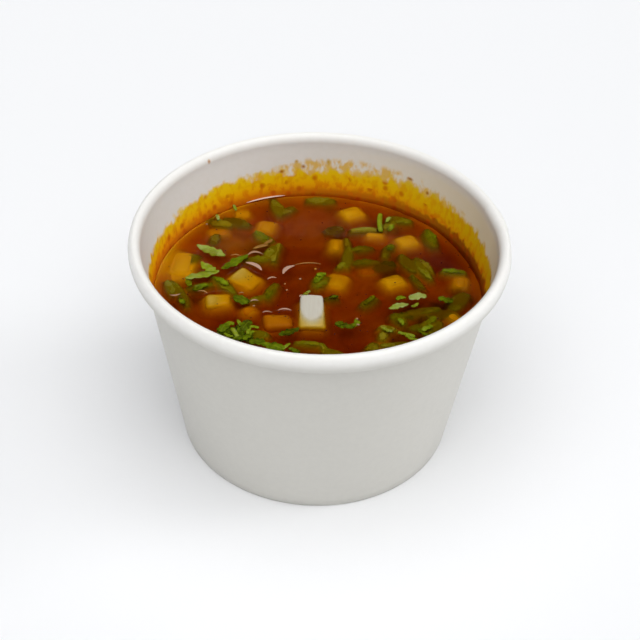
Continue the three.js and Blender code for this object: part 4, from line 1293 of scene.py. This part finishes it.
def dice(name, rows, stands_for, seed):
    """Pieces of onion on one mesh: rounded boxes that lean, narrow along their length and bulge.

    The points are closer together at the edges. The cut ends get shallow grooves, as a sine of the
    height, where layers part.
    """
    cube, quads = cube_surface(DICE_CELLS)
    cube = np.sin(cube * math.pi / 2)[None]
    table = np.array(rows, float)[:, :, None]
    x0, y0, rise, heading, tilt, length, width, height, soak = (table[:, k] for k in range(9))
    half = np.concatenate([length, width, height], 1)[:, None, :] / 2
    shell = rounded_boxes(cube, half, soak)
    skew = np.random.default_rng(seed).uniform(-DICE_SKEW, DICE_SKEW, (len(rows), 1, 2))
    x, y, z = shell[..., 0], shell[..., 1], shell[..., 2]
    groove = LAYER_GROOVE * abs(np.sin(z / height * GROOVE_WAVES + GROOVE_PHASE))
    x = x + skew[..., 0] * z + skew[..., 1] * y
    y = y * (1 - DICE_TAPER * x / length)
    x = x - np.sign(x) * groove * smoothstep(GROOVED_FROM, GROOVED_FULLY, abs(x) / (length / 2))
    z = z + DICE_BULGE * (0.5 - (y / (width / 2)) ** 2)
    fibre = np.stack([x * FIBRE_STRETCH, y, z], -1) + np.arange(len(rows))[:, None, None] * FIBRE_APART
    lean = np.radians(tilt)
    east, north = laid_down(x * np.cos(lean) + z * np.sin(lean), y, x0, y0, heading)
    up = BROTH_LEVEL + rise - SOAK_SINK * soak - height / 2 + (z * np.cos(lean) - x * np.sin(lean))
    points = np.stack([east, north, up], -1).reshape(-1, 3)
    faces = repeated(quads, len(rows), cube.shape[1])
    wet = smoothstep(BROTH_LEVEL + WET_TO, BROTH_LEVEL + WET_FROM, up)
    marks = {"soak": np.maximum(soak, WET_SOAK * wet).ravel(), "fibre": fibre.reshape(-1, 3)}
    make_piece(name, points, faces, ONION, stands_for, marks)


dice_nodes = sorted(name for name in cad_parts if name.startswith("onion_"))
dice("floating_onion", FLOATING_DICE, dice_nodes, seed=21)
dice("sunk_onion", SUNK_DICE, ["broth"], seed=22)

# ---- Floor, light and camera ----

FLOOR_HALF = 3000  # half its side
SKY_STRENGTH = 2.5
SKY_LEAN = 17  # degrees by which the soft light's middle leans from overhead towards the viewer
SKY_LOW, SKY_HIGH = 0.62, 0.94  # cosines of the angles from that middle between which it fades in
KEY_AZIMUTH, KEY_ELEVATION = 8, 22  # degrees: from the right, and low
KEY_STRENGTH = 0.68
KEY_SPREAD = 24  # degrees across, which makes its shadows soft
CAMERA_ELEVATION = 39.631  # degrees by which it looks down
CAMERA_ROLL = 1.823  # degrees in its own plane
CAMERA_DISTANCE = 385.951
CAMERA_TARGET = (0.61, 0.0, 32.79)
CAMERA_LENS = 82.76
CAMERA_SENSOR = 36.0


def floor():
    """A plain pale floor, far larger than the view."""
    corners = np.array([(-1, -1, 0), (1, -1, 0), (1, 1, 0), (-1, 1, 0)]) * FLOOR_HALF
    mesh = bpy.data.meshes.new("floor")
    mesh.from_pydata((corners * MM).tolist(), [], [(0, 1, 2, 3)])
    look = {"Roughness": 0.9, "Specular_IOR_Level": 0.1, "Base_Color": linear("#f6f7f9")}
    mesh.materials.append(new_material("matte_floor", **look)[0])
    piece = bpy.data.objects.new("floor", mesh)
    bpy.context.scene.collection.objects.link(piece)


def sky():
    """A large soft light overhead, made by the sky's shade."""
    world = bpy.data.worlds.new("studio")
    world.use_nodes = True
    tree = world.node_tree
    direction = add_node(tree, COORDINATES, out="Generated")
    lean = math.radians(SKY_LEAN)
    angle = {0: direction, 1: (0, -math.sin(lean), math.cos(lean))}
    near = add_node(tree, "ShaderNodeVectorMath", angle, operation="DOT_PRODUCT", out="Value")
    share = add_node(tree, RANGE, {0: near, 1: SKY_LOW, 2: SKY_HIGH}, **SMOOTH)
    colour = add_node(tree, RAMP, {0: share}, [(0.0, "#161616"), (1.0, "#ffffff")], out=0)
    background = tree.nodes["Background"]
    tree.links.new(colour, background.inputs["Color"])
    background.inputs["Strength"].default_value = SKY_STRENGTH
    bpy.context.scene.world = world


def key_light():
    """A low soft key light from the right."""
    key = bpy.data.lights.new("key", "SUN")
    key.energy = KEY_STRENGTH
    key.angle = math.radians(KEY_SPREAD)
    lamp = bpy.data.objects.new("key", key)
    azimuth, elevation = math.radians(KEY_AZIMUTH), math.radians(KEY_ELEVATION)
    level = math.cos(elevation)
    towards = Vector((level * math.cos(azimuth), level * math.sin(azimuth), math.sin(elevation)))
    lamp.rotation_euler = towards.to_track_quat("Z", "Y").to_euler()
    bpy.context.scene.collection.objects.link(lamp)


def camera():
    """The photo's view: from the front, looking down, turned a little in its own plane."""
    elevation, roll = math.radians(CAMERA_ELEVATION), math.radians(CAMERA_ROLL)
    back = Vector((0, -math.cos(elevation), math.sin(elevation)))
    right = Vector((1, 0, 0))
    up = right.cross(-back)
    level = Matrix((right, up, back)).transposed()
    lens = bpy.data.cameras.new("camera")
    lens.lens = CAMERA_LENS
    lens.sensor_width = CAMERA_SENSOR
    lens.clip_start = 0.01
    seen = bpy.data.objects.new("camera", lens)
    turned = level @ Matrix.Rotation(roll, 3, "Z")
    place = (Vector(CAMERA_TARGET) + CAMERA_DISTANCE * back) * MM
    seen.matrix_world = Matrix.Translation(place) @ turned.to_4x4()
    bpy.context.scene.collection.objects.link(seen)
    bpy.context.scene.camera = seen


floor()
sky()
key_light()
camera()
bpy.context.scene.view_settings.view_transform = "Standard"
